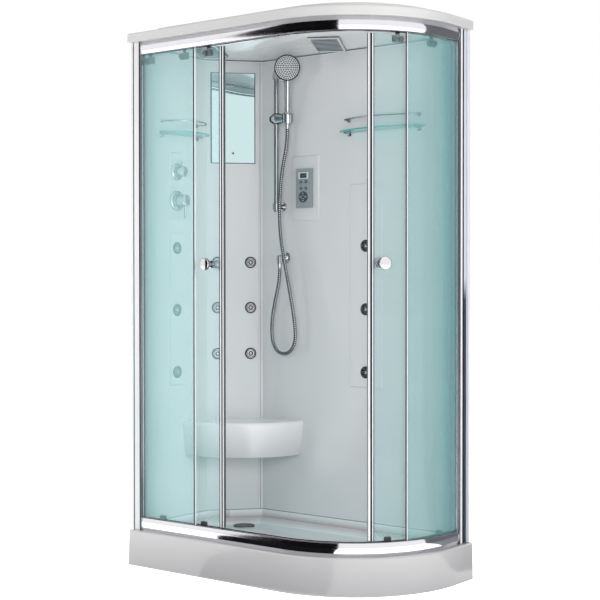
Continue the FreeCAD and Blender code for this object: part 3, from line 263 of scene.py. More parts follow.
@dataclass
class Shape:
    """A mesh in the making: forms that are gathered before they become one piece."""

    points: list[Grid] = field(default_factory=list)
    faces: list[list[int]] = field(default_factory=list)
    count: int = 0

    def grid(self, surface: Grid, close_v: bool = False, caps: bool = False,
             place: Matrix | None = None) -> "Shape":
        """Add a surface of two parameters given as an array of points (u, v, 3).

        Args:
            surface: the points.
            close_v: join the last column to the first.
            caps: close the first and last row with a flat face.
            place: matrix applied to the points.

        Returns:
            This shape.
        """
        nu, nv = surface.shape[:2]
        ids = self.count + np.arange(nu * nv).reshape(nu, nv)
        v = np.arange(nv if close_v else nv - 1)
        after = (v + 1) % nv
        corners = [ids[:-1][:, v], ids[1:][:, v], ids[1:][:, after], ids[:-1][:, after]]
        self.faces += np.stack(corners, axis=-1).reshape(-1, 4).tolist()
        if caps:
            self.faces += [ids[0].tolist(), ids[-1][::-1].tolist()]
        points = surface.reshape(-1, 3)
        self.points.append(points if place is None else moved(points, place))
        self.count += nu * nv
        return self

    def turned(self, profile: Sequence[tuple[float, float]], steps: int = 48,
               place: Matrix | None = None) -> "Shape":
        """Add a turned form about Z.

        Formula: each profile point (radius, height) sweeps a circle, so a point is
        (radius cos t, radius sin t, height) for t from nought to a full turn.

        Args:
            profile: the points of (radius, height).
            steps: points round each circle.
            place: matrix applied to the points.

        Returns:
            This shape.
        """
        p = np.array(profile, float)
        t = np.linspace(0, 2 * math.pi, steps, endpoint=False)
        x = p[:, :1] * np.cos(t)
        y = p[:, :1] * np.sin(t)
        z = np.repeat(p[:, 1:], steps, axis=1)
        return self.grid(np.stack([x, y, z], axis=-1), close_v=True, place=place)

    def plate(self, outline: Grid, low: float, high: float,
              place: Matrix | None = None) -> "Shape":
        """Add a flat plate: an outline in the XY plane raised from one height to another.

        Args:
            outline: its corners.
            low: height of its foot.
            high: height of its top.
            place: matrix applied to the points.

        Returns:
            This shape.
        """
        n = len(outline)
        bottom = np.column_stack([outline, np.full(n, low)])
        top = np.column_stack([outline, np.full(n, high)])
        return self.grid(np.stack([bottom, top]), close_v=True, caps=True, place=place)

    def box(self, low: Sequence[float], high: Sequence[float],
            place: Matrix | None = None) -> "Shape":
        """Add a box between two corners.

        Args:
            low: its lower corner.
            high: its upper corner.
            place: matrix applied to the points.

        Returns:
            This shape.
        """
        (x0, y0, z0), (x1, y1, z1) = low, high
        outline = np.array([(x0, y0), (x1, y0), (x1, y1), (x0, y1)], float)
        return self.plate(outline, z0, z1, place)

    def along(self, s: Grid, section: Grid) -> "Shape":
        """Add a closed section of (depth, height) points carried to stations along the rail."""
        surface = along_rail(s[:, None], section[None, :, 0], section[None, :, 1])
        return self.grid(surface, close_v=True, caps=True)

    def around(self, degrees: Grid, section: Grid) -> "Shape":
        """Add a closed section of (depth, height) points carried to angles about the arc."""
        surface = around_arc(degrees[:, None], section[None, :, 0], section[None, :, 1])
        return self.grid(surface, close_v=True, caps=True)

    def tube(self, path: Grid, radius: Grid, steps: int) -> "Shape":
        """Carry a circle along a path.

        Formula: at each path point a ring with a radius of its own for each step round
        it lies in the plane across the path, on axes carried along without twist.

        Args:
            path: the points of its middle line.
            radius: the radii, a row for each point and a column for each step.
            steps: points round the circle.

        Returns:
            This shape.
        """
        tangent = np.gradient(path, axis=0)
        tangent /= np.linalg.norm(tangent, axis=1, keepdims=True)
        side = carried_sides(tangent)
        up = np.cross(tangent, side)
        t = np.linspace(0, 2 * math.pi, steps, endpoint=False)
        ring = side[:, None] * np.cos(t)[None, :, None] + up[:, None] * np.sin(t)[None, :, None]
        return self.grid(path[:, None] + radius[:, :, None] * ring, close_v=True, caps=True)

    def piece(self, name: str, body: Body, finish: "Finish", replaces: Iterable[str] = (),
              sharp: float = 35.0, bevel: float = 0.0, slot: str | None = None,
              rib: Grid | None = None) -> bpy.types.Object:
        """Make the gathered shape one dressed object that rides on a body.

        Args:
            name: the piece's name.
            body: the CAD body it moves with.
            finish: its material.
            replaces: CAD nodes that it stands for.
            sharp: edges turned by more degrees than this stay sharp.
            bevel: width of a rounding on its sharp edges.
            slot: the record's material slot; not used.
            rib: a number for each point that the finish reads as its rib attribute.

        Returns:
            The new object.
        """
        mesh = bpy.data.meshes.new(name)
        mesh.from_pydata(np.concatenate(self.points).tolist(), [], self.faces)
        if rib is not None:
            mesh.attributes.new("rib", "FLOAT", "POINT").data.foreach_set("value", rib.ravel())
        return finish_piece(mesh, name, body, finish, replaces, sharp, bevel)


def carried_sides(tangent: Grid) -> Grid:
    """Unit vectors across a path that turn as little as possible from point to point.

    Formula: each one is the one before, less its share along the new tangent, brought
    back to length one.

    Args:
        tangent: the path's unit tangents.

    Returns:
        A unit vector for each tangent.
    """
    side = np.cross(tangent[0], (0.0, 1.0, 0.0))
    if np.linalg.norm(side) < 0.1:
        side = np.cross(tangent[0], (1.0, 0.0, 0.0))
    sides = []
    for t in tangent:
        side = side - t * (side @ t)
        side = side / np.linalg.norm(side)
        sides.append(side)
    return np.array(sides)


def finish_piece(mesh: bpy.types.Mesh, name: str, body: Body, finish: "Finish",
                 replaces: Iterable[str], sharp: float, bevel: float) -> bpy.types.Object:
    """Weld a mesh, set its shading and finish, and put it on its body.

    Args:
        mesh: the mesh.
        name: the piece's name.
        body: the CAD body it moves with.
        finish: its material.
        replaces: CAD nodes that it stands for.
        sharp: edges turned by more degrees than this stay sharp.
        bevel: width of a rounding on its sharp edges.

    Returns:
        The new object.
    """
    work = bmesh.new()
    work.from_mesh(mesh)
    bmesh.ops.remove_doubles(work, verts=work.verts, dist=WELD)
    bmesh.ops.dissolve_degenerate(work, edges=work.edges, dist=SPECK)
    bmesh.ops.recalc_face_normals(work, faces=work.faces)
    work.to_mesh(mesh)
    work.free()
    mesh.shade_smooth()
    mesh.set_sharp_from_angle(angle=math.radians(sharp))
    mesh.materials.clear()
    mesh.materials.append(finish.material())
    obj = bpy.data.objects.new(name, mesh)
    bpy.context.scene.collection.objects.link(obj)
    if bevel:
        edge = obj.modifiers.new("soft_edges", "BEVEL")
        edge.width = bevel
        edge.segments = 2
        edge.limit_method = "ANGLE"
        edge.angle_limit = math.radians(sharp)
    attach(obj, body.value)
    nodes = tuple(replaces)
    if nodes:
        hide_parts(*nodes)
    return obj


def refine(node: str, name: str, finish: "Finish", bevel: float = 0.0, sharp: float = 30.0) -> bpy.types.Object:
    """Dress a welded copy of a CAD node and let it stand for the node.

    Args:
        node: the CAD node.
        name: the new piece's name.
        finish: its material.
        bevel: width of the rounding on its edges.
        sharp: edges turned by more degrees than this stay sharp.

    Returns:
        The new object.
    """
    source = frame["nodes"][node]
    mesh = source.data.copy()
    mesh.name = name
    work = bmesh.new()
    work.from_mesh(mesh)
    bmesh.ops.remove_doubles(work, verts=work.verts, dist=CAD_WELD)
    bmesh.ops.dissolve_limit(work, angle_limit=math.radians(FLAT_DEGREES),
                             verts=work.verts, edges=work.edges)
    work.to_mesh(mesh)
    work.free()
    body = Body(source["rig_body"])
    return finish_piece(mesh, name, body, finish, (node,), sharp, bevel)


def refine_all(slot: str, sharp: float, *rows: tuple[str, str, "Finish", float]) -> None:
    """Dress several CAD nodes alike.

    Args:
        slot: the record's material slot of all of them; not used.
        sharp: edges turned by more degrees than this stay sharp.
        *rows: for each node its name, the new piece's name, its finish and its bevel.
    """
    for node, name, finish, bevel in rows:
        refine(node, name, finish, bevel, sharp)


class ShaderBoard:
    """Lays out one material's nodes."""

    def __init__(self, name: str) -> None:
        """Start a material with its output and its main shader.

        Args:
            name: the material's name.
        """
        self.material = bpy.data.materials.new(name)
        self.material.use_nodes = True
        self.tree = self.material.node_tree
        self.tree.nodes.clear()
        self.out = self.tree.nodes.new("ShaderNodeOutputMaterial")
        self.main = self.tree.nodes.new("ShaderNodeBsdfPrincipled")
        self.tree.links.new(self.main.outputs["BSDF"], self.out.inputs["Surface"])

    def node(self, kind: str, settings: dict[str, object] | None = None,
             **values: object) -> bpy.types.Node:
        """Add a node, set its properties, and set or link its inputs by name.

        Args:
            kind: the node's type after ShaderNode.
            settings: properties of the node itself.
            **values: inputs, underscores for spaces, each a value or a socket.

        Returns:
            The node.
        """
        made = self.tree.nodes.new("ShaderNode" + kind)
        for key, value in (settings or {}).items():
            setattr(made, key, value)
        for key, value in values.items():
            socket = made.inputs[int(key[1:])] if key[0] == "i" and key[1:].isdigit() \
                else made.inputs[key.replace("_", " ")]
            self.put(socket, value)
        return made

    def put(self, socket: bpy.types.NodeSocket, value: object) -> None:
        """Link a socket, or set its value.

        Args:
            socket: the input to feed.
            value: another node's output, a colour or a number.
        """
        if isinstance(value, bpy.types.NodeSocket):
            self.tree.links.new(value, socket)
        elif isinstance(value, tuple) and len(value) == 3 and socket.type == "RGBA":
            socket.default_value = (*value, 1.0)
        else:
            socket.default_value = value

    def set(self, **values: object) -> None:
        """Set or link the main shader's inputs by name."""
        for key, value in values.items():
            self.put(self.main.inputs[key.replace("_", " ")], value)

    def where(self, scale: Sequence[float] = (1, 1, 1)) -> bpy.types.NodeSocket:
        """Object coordinates, stretched."""
        spot = self.node("TexCoord").outputs["Object"]
        if tuple(scale) == (1, 1, 1):
            return spot
        return self.node("Mapping", Vector=spot, Scale=tuple(scale)).outputs["Vector"]

    def noise(self, scale: float, detail: float = 2.0,
              stretch: Sequence[float] = (1, 1, 1)) -> bpy.types.NodeSocket:
        """Soft noise over the object, as a number from nought to one."""
        return self.node("TexNoise", Vector=self.where(stretch), Scale=scale,
                         Detail=detail).outputs["Fac"]

    def spread(self, value: bpy.types.NodeSocket, low: float, high: float,
               start: float = 0.0, stop: float = 1.0) -> bpy.types.NodeSocket:
        """Map a number's range to another, held at its ends.

        Args:
            value: the number.
            low: what it becomes at the start.
            high: what it becomes at the stop.
            start: lower end of its range.
            stop: upper end of its range.

        Returns:
            The mapped number.
        """
        return self.node("MapRange", Value=value, From_Min=start, From_Max=stop,
                         To_Min=low, To_Max=high).outputs["Result"]

    def height(self) -> bpy.types.NodeSocket:
        """The height of the point in the cabin's frame."""
        return self.node("SeparateXYZ", Vector=self.where()).outputs["Z"]

    def slant(self) -> bpy.types.NodeSocket:
        """How far the surface turns away from the eye, from nought to one."""
        return self.node("LayerWeight", Blend=0.5).outputs["Facing"]

    def attribute(self, name: str) -> bpy.types.NodeSocket:
        """A number that the mesh carries for each of its points."""
        return self.node("Attribute", {"attribute_name": name}).outputs["Fac"]

    def seen(self) -> bpy.types.NodeSocket:
        """One for camera, mirror and glass rays and nought for the light that spreads.

        Returns:
            The number's socket.
        """
        path = self.node("LightPath").outputs
        first = self.node("Math", {"operation": "MAXIMUM"}, i0=path["Is Camera Ray"],
                          i1=path["Is Glossy Ray"]).outputs["Value"]
        return self.node("Math", {"operation": "MAXIMUM"}, i0=first,
                         i1=path["Is Transmission Ray"]).outputs["Value"]

    def blend(self, share: bpy.types.NodeSocket, a: object, b: object) -> bpy.types.NodeSocket:
        """Mix two colours.

        Args:
            share: the second colour's share.
            a: the first colour or its socket.
            b: the second colour or its socket.

        Returns:
            The mixed colour.
        """
        mix = self.node("Mix", {"data_type": "RGBA"})
        self.put(mix.inputs["Factor"], share)
        self.put(mix.inputs[6], a)
        self.put(mix.inputs[7], b)
        return mix.outputs[2]

    def bump(self, height: bpy.types.NodeSocket, depth: float, strength: float = 1.0) -> None:
        """Let a height pattern shape the surface, depth in metres."""
        made = self.node("Bump", Height=height, Distance=depth, Strength=strength)
        self.put(self.main.inputs["Normal"], made.outputs["Normal"])


FINISHES: dict[str, bpy.types.Material] = {}


@dataclass(frozen=True)
class Finish:
    """A surface finish with a name; each kind builds its own nodes."""

    name: str

    def material(self) -> bpy.types.Material:
        """Make the finish's material at its first use and keep it.

        Returns:
            The material.
        """
        if self.name not in FINISHES:
            board = ShaderBoard(self.name)
            self.build(board)
            FINISHES[self.name] = board.material
        return FINISHES[self.name]

    def build(self, board: ShaderBoard) -> None:
        """Lay out the finish's nodes.

        Args:
            board: the material's nodes.
        """
        raise NotImplementedError


def darker(colour: Colour, share: float) -> Colour:
    """A colour with each part times a share."""
    return tuple(part * share for part in colour)


@dataclass(frozen=True)
class MouldedAcrylic(Finish):
    """White gloss acrylic: faint ripple of a vacuum moulding, with painted shade that makes it a little darker
    low down.
    """

    # the two ends of the painted shade by height
    high_tone: Colour = (0.75, 0.75, 0.76)
    low_tone: Colour = (0.69, 0.72, 0.73)
    low_z: float = 0.2
    high_z: float = 1.9
    roughness: float = 0.22
    basin_painted_light: Colour | None = None
    mottle: float = 0.10
    peel: float = 0.0012

    def build(self, board: ShaderBoard) -> None:
        """Painted shade by height, darker low down, painted light on the marked basin where a basin colour is
        given, soft mottling, a clear coat and an orange peel bump.

        Args:
            board: the material's nodes.
        """
        # painted shade: the tone darkens from high_z down to low_z
        rise = board.spread(board.height(), 0.0, 1.0, self.low_z, self.high_z)
        tone = board.blend(rise, self.low_tone, self.high_tone)
        # painted light: the tray's marked basin floor and top paler and bluish
        if self.basin_painted_light:
            tone = board.blend(board.attribute("basin"), tone, self.basin_painted_light)
        mottle = board.spread(board.noise(3.0, 3.0), 0.0, self.mottle)
        shaded = board.blend(mottle, tone, darker(self.low_tone, 0.86))
        board.set(Base_Color=shaded, Coat_Weight=0.35, Coat_Roughness=0.06)
        board.set(Roughness=board.spread(board.noise(40.0), self.roughness - 0.04,
                                         self.roughness + 0.05))
        board.bump(board.noise(9.0), self.peel, 0.35)


@dataclass(frozen=True)
class PolishedMetal(Finish):
    """Plated or polished metal with faint polishing marks and a painted dark reflection where it turns away."""

    colour: Colour = (0.84, 0.84, 0.86)
    roughness: float = 0.05
    stretch: tuple[float, float, float] = (1, 1, 1)
    marks: float = 0.00004
    # the painted dark reflection at the outline: its tone, its share and the slant over which it grows
    rim_reflection_tone: Colour = (0.02, 0.025, 0.03)
    rim_reflection_share: float = 0.0
    rim_reflection_from: float = 0.22
    rim_reflection_to: float = 0.68

    def build(self, board: ShaderBoard) -> None:
        """A bright metal whose gloss varies in streaks, with a painted dark reflection where it turns away.

        Args:
            board: the material's nodes.
        """
        streak = board.noise(160.0, 3.0, self.stretch)
        patch = board.spread(board.noise(14.0), 0.0, 0.25)
        tone = board.blend(patch, self.colour, darker(self.colour, 0.9))
        # painted reflection: near black towards the outline, where the metal turns from the eye
        if self.rim_reflection_share:
            share = board.spread(board.slant(), 0.0, self.rim_reflection_share,
                                 self.rim_reflection_from, self.rim_reflection_to)
            tone = board.blend(share, tone, self.rim_reflection_tone)
        board.set(Metallic=1.0, Base_Color=tone)
        board.set(Roughness=board.spread(streak, self.roughness * 0.7, self.roughness * 1.5))
        board.bump(streak, self.marks, 0.3)


@dataclass(frozen=True)
class RibbedMetal(PolishedMetal):
    """The metal of a ribbed hose, with painted shade in its furrows."""

    furrow_shade: Colour = (0.03, 0.035, 0.04)
    furrow_shade_ends: tuple[float, float] = (0.25, 0.7)

    def build(self, board: ShaderBoard) -> None:
        """The metal's own tone on the ribs and painted shade where the rib attribute is low.

        Args:
            board: the material's nodes.
        """
        super().build(board)
        tone = board.main.inputs["Base Color"].links[0].from_socket
        # painted shade in the furrows between the ribs
        share = board.spread(board.attribute("rib"), 0.0, 1.0, *self.furrow_shade_ends)
        board.set(Base_Color=board.blend(share, self.furrow_shade, tone))


@dataclass(frozen=True)
class PaintedLightBands(Finish):
    """Two painted bands that meet at a height: on the post a painted reflection of the dark floor below and the
    pale room above, on the louvres painted shade above.
    """

    low_tone: Colour = (0.03, 0.04, 0.07)
    high_tone: Colour = (0.66, 0.71, 0.80)
    turn_z: float = 1.08
    turn: float = 0.04

    def build(self, board: ShaderBoard) -> None:
        """Two painted tones of reflection and shade that meet over a short height, with faint drawing marks
        along Z.

        Args:
            board: the material's nodes.
        """
        rise = board.spread(board.height(), 0.0, 1.0, self.turn_z - self.turn,
                            self.turn_z + self.turn)
        marks = board.spread(board.noise(90.0, 2.0, (1, 1, 0.05)), 0.0, 0.25)
        # painted reflection and shade: one band below turn_z and the other above it
        tone = board.blend(rise, self.low_tone, self.high_tone)
        board.set(Base_Color=board.blend(marks, tone, self.low_tone), Roughness=0.3,
                  Specular_IOR_Level=0.12)


@dataclass(frozen=True)
class TintedPane(Finish):
    """Clear toughened glass with a green tint, seen stronger and darker at a slant."""

    tint: Colour = (0.52, 0.94, 0.95)
    slant_tint: Colour = (0.10, 0.20, 0.20)
    face_share: float = 0.13
    slant_share: float = 0.75
    cloud: float = 0.015

    def build(self, board: ShaderBoard) -> None:
        """A thin tinted layer whose share grows with the slant, faintly cloudy.

        Args:
            board: the material's nodes.
        """
        slant = board.slant()
        cloud = board.spread(board.noise(2.2), -self.cloud, self.cloud)
        share = board.spread(slant, self.face_share, self.slant_share, 0.35, 1.0)
        cover = board.node("Math", {"operation": "ADD"}, i0=share, i1=cloud).outputs["Value"]
        steep = board.spread(slant, 0.0, 1.0, 0.45, 0.9)
        board.set(Base_Color=board.blend(steep, self.tint, self.slant_tint), Roughness=0.03,
                  IOR=1.5, Alpha=cover, Coat_Weight=0.3, Coat_Roughness=0.02)


@dataclass(frozen=True)
class PaneEdge(Finish):
    """The ground edge of a glass plate."""

    colour: Colour = (0.001, 0.018, 0.018)

    def build(self, board: ShaderBoard) -> None:
        """Dark green, lighter in patches along the edge.

        Args:
            board: the material's nodes.
        """
        patch = board.spread(board.noise(18.0), 0.0, 0.6)
        board.set(Base_Color=board.blend(patch, self.colour, darker(self.colour, 2.2)),
                  Roughness=0.3, Alpha=0.96, Specular_IOR_Level=0.1)


@dataclass(frozen=True)
class SilverMirror(Finish):
    """Silvered glass."""

    colour: Colour = (0.62, 0.80, 0.81)

    def build(self, board: ShaderBoard) -> None:
        """A clean mirror with a trace of cloudiness.

        Args:
            board: the material's nodes.
        """
        haze = board.noise(5.0, 3.0)
        board.set(Metallic=1.0, Base_Color=board.blend(board.spread(haze, 0.0, 0.3), self.colour,
                                                       darker(self.colour, 0.94)))
        board.set(Roughness=board.spread(haze, 0.005, 0.03))


@dataclass(frozen=True)
class Plastic(Finish):
    """Moulded or extruded plastic and rubber."""

    colour: Colour = (0.8, 0.8, 0.8)
    second: Colour = (0.7, 0.7, 0.7)
    roughness: float = 0.35
    grain: float = 220.0
    relief: float = 0.00006
    alpha: float = 1.0
    coat: float = 0.0
    specular: float = 0.5

    def build(self, board: ShaderBoard) -> None:
        """Two close tones in soft patches under a fine grain.

        Args:
            board: the material's nodes.
        """
        patch = board.spread(board.noise(25.0, 3.0), 0.0, 0.8)
        board.set(Base_Color=board.blend(patch, self.colour, self.second))
        board.set(Roughness=board.spread(board.noise(self.grain), self.roughness - 0.05,
                                         self.roughness + 0.08))
        board.set(Alpha=self.alpha, Coat_Weight=self.coat, Coat_Roughness=0.05,
                  Specular_IOR_Level=self.specular)
        board.bump(board.noise(self.grain, 3.0), self.relief, 0.5)


@dataclass(frozen=True)
class SpangledSteel(Finish):
    """Galvanised steel with its crystal pattern."""

    dark: Colour = (0.42, 0.43, 0.44)
    bright: Colour = (0.62, 0.63, 0.64)
    cells: float = 70.0

    def build(self, board: ShaderBoard) -> None:
        """Cells of slightly different grey.

        Args:
            board: the material's nodes.
        """
        cells = board.node("TexVoronoi", Vector=board.where(), Scale=self.cells).outputs["Color"]
        grey = board.node("SeparateColor", Color=cells).outputs["Red"]
        board.set(Metallic=0.8, Base_Color=board.blend(grey, self.dark, self.bright))
        board.set(Roughness=board.spread(grey, 0.35, 0.55))
        board.bump(grey, 0.00005, 0.4)


@dataclass(frozen=True)
class CabinFinishes:
    """Every finish on the cabin."""

    # Lit and shaded copies of one white acrylic: the ceiling painted lighter, the seat's top painted lighter
    # than its front, the tray painted darker with its basin painted paler and bluish, and each darker low down
    # with painted shade
    wall: Finish = MouldedAcrylic("wall_acrylic")
    seat: Finish = MouldedAcrylic(
        "seat_acrylic", (0.92, 0.92, 0.93), (0.62, 0.62, 0.63), 0.40, 0.55, 0.16)
    tray: Finish = MouldedAcrylic(
        "tray_acrylic", (0.56, 0.55, 0.555), (0.40, 0.39, 0.40), 0.0, 0.15, 0.2, (0.79, 0.89, 0.90))
    roof: Finish = MouldedAcrylic(
        "roof_acrylic", (0.66, 0.65, 0.645), (0.61, 0.605, 0.60), 2.04, 2.09, 0.25)
    ceiling: Finish = MouldedAcrylic(
        "ceiling_acrylic", (0.96, 0.95, 0.95), (0.94, 0.93, 0.94), 2.0, 2.03, 0.25)
    # rim_reflection_share paints a dark reflection at the outline of these metals
    chrome: Finish = PolishedMetal("chrome", rim_reflection_share=0.97)
    jet: Finish = PolishedMetal("jet_chrome", (0.50, 0.51, 0.53), rim_reflection_share=0.97,
                                rim_reflection_from=0.08, rim_reflection_to=0.40)
    plate: Finish = PolishedMetal("plated_plate", (0.70, 0.71, 0.73), 0.10)
    rail: Finish = PolishedMetal("rail_metal", (0.86, 0.85, 0.89), 0.07, (1, 1, 14), 0.00003)
    hose: Finish = RibbedMetal("hose_metal", (0.80, 0.81, 0.83), 0.16, rim_reflection_share=0.97,
                               rim_reflection_from=0.12, rim_reflection_to=0.5)
    # rougher chrome whose darker tone is a painted dark reflection
    satin_dark_reflection: Finish = PolishedMetal("satin_chrome_dark_reflection", (0.74, 0.75, 0.77), 0.12, rim_reflection_share=0.97,
                                  rim_reflection_from=0.12, rim_reflection_to=0.45)
    dark_metal: Finish = PolishedMetal("dark_chrome", (0.20, 0.20, 0.21), 0.18)
    pane: Finish = TintedPane("pane_glass")
    # a darker copy of the pane glass: painted shade on what shows through the curved panes
    shaded_curved_pane: Finish = TintedPane(
        "curved_pane_glass_painted_shade", (0.28, 0.54, 0.55), (0.10, 0.20, 0.20), 0.19)
    shelf: Finish = TintedPane("shelf_glass", (0.30, 1.0, 0.94), (0.22, 0.92, 0.86), 0.40, 0.66)
    shelf_edge: Finish = PaneEdge("shelf_edge")
    mirror: Finish = SilverMirror("mirror_silver")
    clear_vinyl: Finish = Plastic(
        "clear_vinyl", (0.74, 0.76, 0.78), (0.66, 0.68, 0.70), 0.3, 120.0, 0.00005, 0.7)
    white_vinyl: Finish = Plastic("white_vinyl", (0.86, 0.86, 0.88), (0.78, 0.78, 0.80), 0.3)
    dark_vinyl: Finish = Plastic(
        "dark_vinyl", (0.006, 0.006, 0.008), (0.016, 0.016, 0.018), 0.5, specular=0.08)
    nylon: Finish = Plastic("nylon", (0.78, 0.78, 0.76), (0.70, 0.70, 0.68), 0.42)
    # pale louvres with painted shade above a height, standing for the dark space behind the slats
    grille: Finish = PaintedLightBands(
        "grille_painted_shade", (0.74, 0.80, 0.84), (0.012, 0.016, 0.022), 2.0168, 0.0012)
    panel: Finish = Plastic("panel_plastic", (0.30, 0.345, 0.36), (0.27, 0.315, 0.33), 0.25,
                            200.0, 0.00003, coat=0.4)
    bezel: Finish = Plastic("panel_bezel", (0.72, 0.75, 0.76), (0.66, 0.69, 0.70), 0.3)
    window: Finish = Plastic("display_window", (0.012, 0.014, 0.016), (0.03, 0.03, 0.035), 0.12,
                             200.0, 0.00001, coat=0.8)
    key: Finish = Plastic("key_plastic", (0.05, 0.06, 0.065), (0.08, 0.09, 0.10), 0.45)
    mark: Finish = Plastic("key_mark", (0.70, 0.76, 0.77), (0.62, 0.68, 0.69), 0.4)
    digits: Finish = Plastic("display_digit", (0.30, 0.34, 0.35), (0.26, 0.30, 0.31))
    spray: Finish = Plastic("spray_plate", (0.64, 0.65, 0.66), (0.56, 0.57, 0.58))
    nozzle: Finish = Plastic("nozzle_rubber", (0.008, 0.008, 0.01), (0.02, 0.02, 0.022), 0.6)
    black: Finish = Plastic("black_plastic", (0.02, 0.02, 0.022), (0.035, 0.035, 0.04), 0.45)
    drain: Finish = Plastic("drain_plastic", (0.70, 0.70, 0.70), (0.62, 0.62, 0.62), 0.4)
    joint: Finish = Plastic("joint_sealant", (0.16, 0.17, 0.18), (0.11, 0.12, 0.13), 0.5)
    # painted highlight along the panel edges beside the dark joints
    joint_highlight: Finish = Plastic("painted_joint_highlight", (0.88, 0.89, 0.90), (0.84, 0.85, 0.86), 0.4)
    # painted reflection on the right post: the dark floor below, the pale room above
    post_face: Finish = PaintedLightBands("post_painted_reflection")
    steel: Finish = SpangledSteel("galvanised_steel")


FINISH = CabinFinishes()


@dataclass
class MouldedShells:
    """Tray, walls, seat, roof and ceiling: the acrylic mouldings."""

    basin_edge: float = 0.009
    basin_z: tuple[float, float] = (0.105, 0.150)
    floor_band: tuple[float, float] = (-0.006, 0.012)  # about the lower of basin_z
    rim_z: float = 0.134
    outer_share: float = 0.22
    drain: tuple[float, float] = (-0.377, 0.143)
    drain_reach: float = 0.06
    drain_share: float = 0.05
    crease: float = 22.0
    pocket_x: float = 0.513
    joint_low: float = 0.166
    joint_high: float = PLAN.wall_top_z - 0.002
    joint_out: float = 0.0006
    base_z: float = 0.163
    base_high: float = 0.002
    ceiling_z: float = 2.0185

    def soften(self, tray: bpy.types.Object) -> None:
        """Round the basin's edges in full and the outer ones a little, and mark its floor and top where the
        finish paints light.

        Args:
            tray: the dressed tray.
        """
        work = bmesh.new()
        work.from_mesh(tray.data)
        weight = work.edges.layers.float.new("bevel_weight_edge")
        basin = work.verts.layers.float.new("basin")
        low, high = self.basin_z
        below, above = self.floor_band
        # the basin mark: where the tray's finish paints light, on the basin floor and the top
        for vert in work.verts:
            on_floor = low + below < vert.co.z < low + above
            vert[basin] = 1.0 if on_floor or vert.co.z > high else 0.0
        for edge in work.edges:
            if len(edge.link_faces) != 2 or edge.calc_face_angle(0.0) < math.radians(self.crease):
                continue
            middle = (edge.verts[0].co + edge.verts[1].co) / 2
            inside = low < middle.z < self.rim_z or middle.z > high
            if math.dist(middle[:2], self.drain) < self.drain_reach:
                edge[weight] = self.drain_share
            else:
                edge[weight] = 1.0 if inside else self.outer_share
        work.to_mesh(tray.data)
        work.free()
        tray.modifiers["soft_edges"].limit_method = "WEIGHT"
        tray.modifiers["soft_edges"].segments = 3

    def build(self) -> None:
        """Dress each moulding."""
        self.soften(refine("tray", "tray_moulding", FINISH.tray, self.basin_edge, 50.0))
        refine_all("acrylic", 20.0, *((wall + "_wall", wall + "_wall_moulding", FINISH.wall, 0.0012)
                                      for wall in ("left", "corner", "back")))
        refine("seat", "seat_moulding", FINISH.seat, 0.0025, 35.0)
        refine_all("acrylic", 30.0, ("roof", "roof_moulding", FINISH.roof, 0.002),
                   ("ceiling_panel", "ceiling_moulding", FINISH.ceiling, 0.001))
        refine("ceiling_grilles", "ceiling_louvres", FINISH.grille, 0.0005)
        self.wall_joint("base_joint", FINISH.joint, 0.076, 0.488, 0.0004,
                        self.base_z, self.base_z + self.base_high)
        self.upright_joints()
        # a dark joint line with a band of painted highlight under it
        for name, low, high, finish in (("dark", 0.0, 0.0032, FINISH.joint),
                                        ("pale", -0.0040, -0.0004, FINISH.joint_highlight)):
            self.wall_joint(f"ceiling_joint_{name}", finish, 0.080, 0.486, 0.0006,
                            self.ceiling_z + low, self.ceiling_z + high)

    def upright_joints(self) -> None:
        """Sealed joints up the walls: dark lines beside bands of painted highlight, one group at each end."""
        width = math.hypot(PLAN.corner_w, PLAN.corner_d)
        corner = wall_matrix(Wall.CORNER, width, 0.0)
        pocket = Matrix.Translation((self.pocket_x, PLAN.pocket_y, 0.0))
        slope = pocket @ Matrix.Rotation(math.pi / 4, 4, "Z")
        # the pale bands are painted highlights along the panel edges
        for name, place, a, b, finish in (
                ("corner_bead", corner, -0.0162, -0.0128, FINISH.joint_highlight),
                ("corner_joint", corner, -0.0126, -0.0106, FINISH.joint),
                ("pocket_line", slope, -0.0045, -0.0010, FINISH.joint),
                ("pocket_bead", pocket, 0.0012, 0.0062, FINISH.joint_highlight),
                ("pocket_joint", pocket, 0.0064, 0.0094, FINISH.joint)):
            low, high = (a, -self.joint_out, self.joint_low), (b, 0.0, self.joint_high)
            Shape().box(low, high, place).piece(name, Body.CABIN, finish, slot="clear_seal")

    def wall_joint(self, name: str, finish: Finish, start: float, end_x: float, out: float,
                   low: float, high: float) -> None:
        """A flat band along the three walls.

        Formula: the room side line of the walls and the same line moved a hair into
        the room, by the whole amount across the left and back wall and by half of it
        where they meet the corner wall, raised between two heights.

        Args:
            name: the piece's name.
            finish: its material.
            start: where it begins on the left wall, from the front.
            end_x: where it ends on the back wall.
            out: how far it stands into the room.
            low: height of its foot.
            high: height of its top.
        """
        line = np.array([(PLAN.wall_x, PLAN.rail_y0 + start),
                         (PLAN.wall_x, PLAN.wall_y - PLAN.corner_d),
                         (PLAN.wall_x + PLAN.corner_w, PLAN.wall_y), (end_x, PLAN.wall_y)])
        half = out / 2
        inner = line + np.array([(out, 0.0), (out, -half), (half, -out), (0.0, -out)])
        ring = [np.column_stack([plan, np.full(4, z)])
                for plan, z in ((line, low), (inner, low), (inner, high), (line, high))]
        Shape().grid(np.stack(ring, axis=1), close_v=True, caps=True).piece(
            name, Body.CABIN, finish, slot="clear_seal")


@dataclass
class Underside:
    """What carries and drains the tray."""

    def build(self) -> None:
        """Dress the frame, feet and trap."""
        refine("tray_frame", "tray_tubes", FINISH.steel, 0.001)
        refine("tray_feet", "adjustable_feet", FINISH.black, 0.0008)
        refine("drain_trap", "drain_cup", FINISH.drain, 0.0008)


